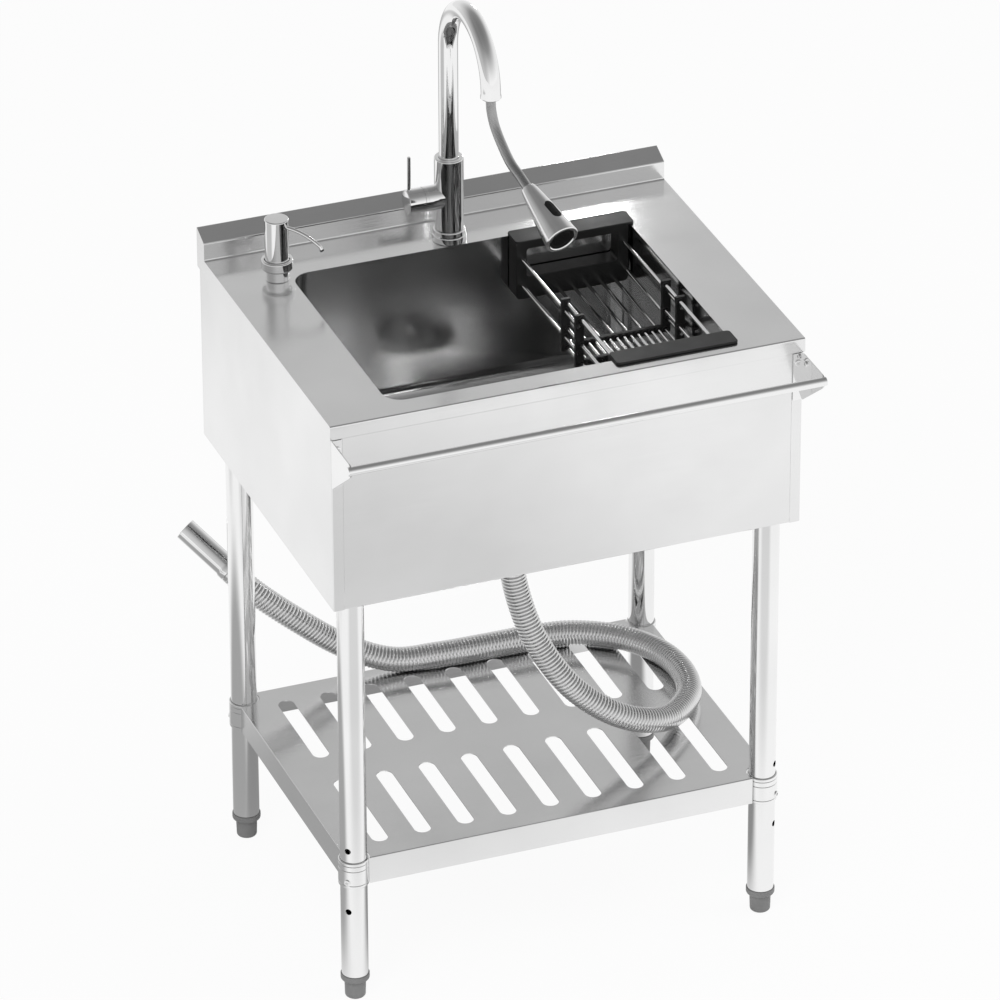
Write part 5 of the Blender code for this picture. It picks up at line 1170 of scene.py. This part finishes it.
def floor_material():
    """Pale floor that looks white and keeps a faint shadow; to mirrors it shows painted shadow ovals round the object.
    """
    material = bpy.data.materials.new("pale_floor")
    material.use_nodes = True
    tree = material.node_tree
    tree.nodes.clear()
    path = wire(tree, "ShaderNodeLightPath", {})
    seen = wire(tree, "ShaderNodeMath", {0: path.outputs["Is Camera Ray"], 1: path.outputs["Is Transmission Ray"]},
                operation="MAXIMUM")
    shown = wire(tree, "ShaderNodeMath", {0: seen.outputs["Value"], 1: path.outputs["Is Glossy Ray"]},
                 operation="MAXIMUM")
    share = wire(tree, "ShaderNodeMath", {0: shown.outputs["Value"], 1: FLOOR_GLOW}, operation="MULTIPLY")
    place = wire(tree, "ShaderNodeTexCoord", {})
    turned_place = wire(tree, "ShaderNodeVectorRotate", {"Vector": place.outputs["Object"],
                                                         "Angle": -math.radians(CAMERA_HEADING)},
                        rotation_type="Z_AXIS")
    level = None
    # Painted shadow: dark ovals round the object, seen on the floor only by glossy rays
    for middle, reach, depth in PAINTED_SHADOW_POOLS:
        shadow_oval = painted_shadow_pool(tree, turned_place.outputs["Vector"], middle, reach, depth)
        if level is None:
            level = shadow_oval
        else:
            level = wire(tree, "ShaderNodeMath", {0: level, 1: shadow_oval}, operation="MINIMUM").outputs["Value"]
    # The camera sees the full glow; mirrors see the painted shadow ovals
    strength = wire(tree, "ShaderNodeMix", {0: seen.outputs["Value"], 2: level, 3: 1.0}, data_type="FLOAT")
    matt = wire(tree, "ShaderNodeBsdfDiffuse", {"Color": (0.86, 0.86, 0.86, 1.0)})
    glow = wire(tree, "ShaderNodeEmission", {"Color": (1.0, 1.0, 1.0, 1.0), "Strength": strength.outputs[0]})
    mixed = wire(tree, "ShaderNodeMixShader",
                 {"Fac": share.outputs["Value"], 1: matt.outputs["BSDF"], 2: glow.outputs["Emission"]})
    wire(tree, "ShaderNodeOutputMaterial", {"Surface": mixed.outputs["Shader"]})
    return material


def sky_ramp(tree, height, stops):
    """Brightness of the sky by height above the horizon."""
    ramp = wire(tree, "ShaderNodeValToRGB", {"Fac": height})
    while len(ramp.color_ramp.elements) < len(stops):
        ramp.color_ramp.elements.new(0.5)
    for element, (position, level) in zip(ramp.color_ramp.elements, stops):
        element.position = position
        element.color = (level, level, level, 1.0)
    return ramp.outputs["Color"]


def graded_world():
    """White to the camera; to mirrors, a dome that is bright at the horizon and dim overhead and in front."""
    world = bpy.data.worlds.new("studio")
    world.use_nodes = True
    tree = world.node_tree
    tree.nodes.clear()
    place = wire(tree, "ShaderNodeTexCoord", {})
    parts = wire(tree, "ShaderNodeSeparateXYZ", {"Vector": place.outputs["Generated"]})
    side = wire(tree, "ShaderNodeMapRange", {"Value": parts.outputs["Y"], "From Min": -0.4, "From Max": 0.4,
                                             "To Min": 0.0, "To Max": 1.0})
    dome = wire(tree, "ShaderNodeMix", {0: side.outputs["Result"], 6: sky_ramp(tree, parts.outputs["Z"], SKY_FRONT),
                                        7: sky_ramp(tree, parts.outputs["Z"], SKY_BACK)}, data_type="RGBA")
    shade = wire(tree, "ShaderNodeMapRange", {"Value": parts.outputs["X"], "From Min": -0.85, "From Max": -0.35,
                                              "To Min": SKY_LEFT, "To Max": 1.0})
    mirrored = wire(tree, "ShaderNodeBackground", {"Color": dome.outputs[2], "Strength": shade.outputs["Result"]})
    ambient = wire(tree, "ShaderNodeBackground", {"Color": (1.0, 1.0, 1.0, 1.0), "Strength": 0.55})
    white = wire(tree, "ShaderNodeBackground", {"Color": (1.0, 1.0, 1.0, 1.0), "Strength": 1.0})
    path = wire(tree, "ShaderNodeLightPath", {})
    seen = wire(tree, "ShaderNodeMath", {0: path.outputs["Is Camera Ray"], 1: path.outputs["Is Transmission Ray"]},
                operation="MAXIMUM")
    glossy = wire(tree, "ShaderNodeMixShader", {"Fac": path.outputs["Is Glossy Ray"],
                                                1: ambient.outputs["Background"], 2: mirrored.outputs["Background"]})
    mixed = wire(tree, "ShaderNodeMixShader", {"Fac": seen.outputs["Value"], 1: glossy.outputs["Shader"],
                                               2: white.outputs["Background"]})
    wire(tree, "ShaderNodeOutputWorld", {"Surface": mixed.outputs["Shader"]})
    return world


def add_lamp(name, spot, target, size, power, mirrored):
    """Soft square lamp aimed at a point; mirrors see it or not."""
    data = bpy.data.lights.new(name, "AREA")
    data.size = size
    data.energy = power
    lamp = bpy.data.objects.new(name, data)
    bpy.context.scene.collection.objects.link(lamp)
    lamp.location = spot
    lamp.rotation_euler = (Vector(target) - Vector(spot)).to_track_quat("-Z", "Y").to_euler()
    lamp.visible_glossy = mirrored
    lamp.visible_camera = False


def stage():
    """Pale floor, soft light, a graded sky for reflections and the camera."""
    scene = bpy.context.scene
    scene.view_settings.view_transform = "Standard"
    work = bmesh.new()
    bmesh.ops.create_grid(work, x_segments=1, y_segments=1, size=12.0)
    floor = loose(tidied(work, "floor"))
    floor.data.materials.append(floor_material())
    scene.world = graded_world()
    add_lamp("key", (-2.6, -3.2, 4.2), (0.0, 0.0, 0.6), 2.6, 110.0, False)
    add_lamp("fill", (3.2, -1.2, 3.0), (0.0, 0.0, 0.7), 2.2, 35.0, False)
    add_lamp("back_spark", (0.374, 0.693, 1.115), (0.06, -0.17, 0.72), 0.08, 0.3, True)
    data = bpy.data.cameras.new("camera")
    data.lens = CAMERA_LENS
    data.shift_x, data.shift_y = CAMERA_SHIFT
    camera = loose(data)
    camera.location = CAMERA_SPOT
    camera.rotation_euler = (math.radians(90.0 - CAMERA_ELEVATION), 0.0, math.radians(CAMERA_HEADING))
    scene.camera = camera


stage()
dress_nodes()
drain_hose()
spray_hose()
legs()
shelf()
bowl()
drain()
towel_rail()
tap()
spout()
spray()
soap_pump()
rack()
screws()
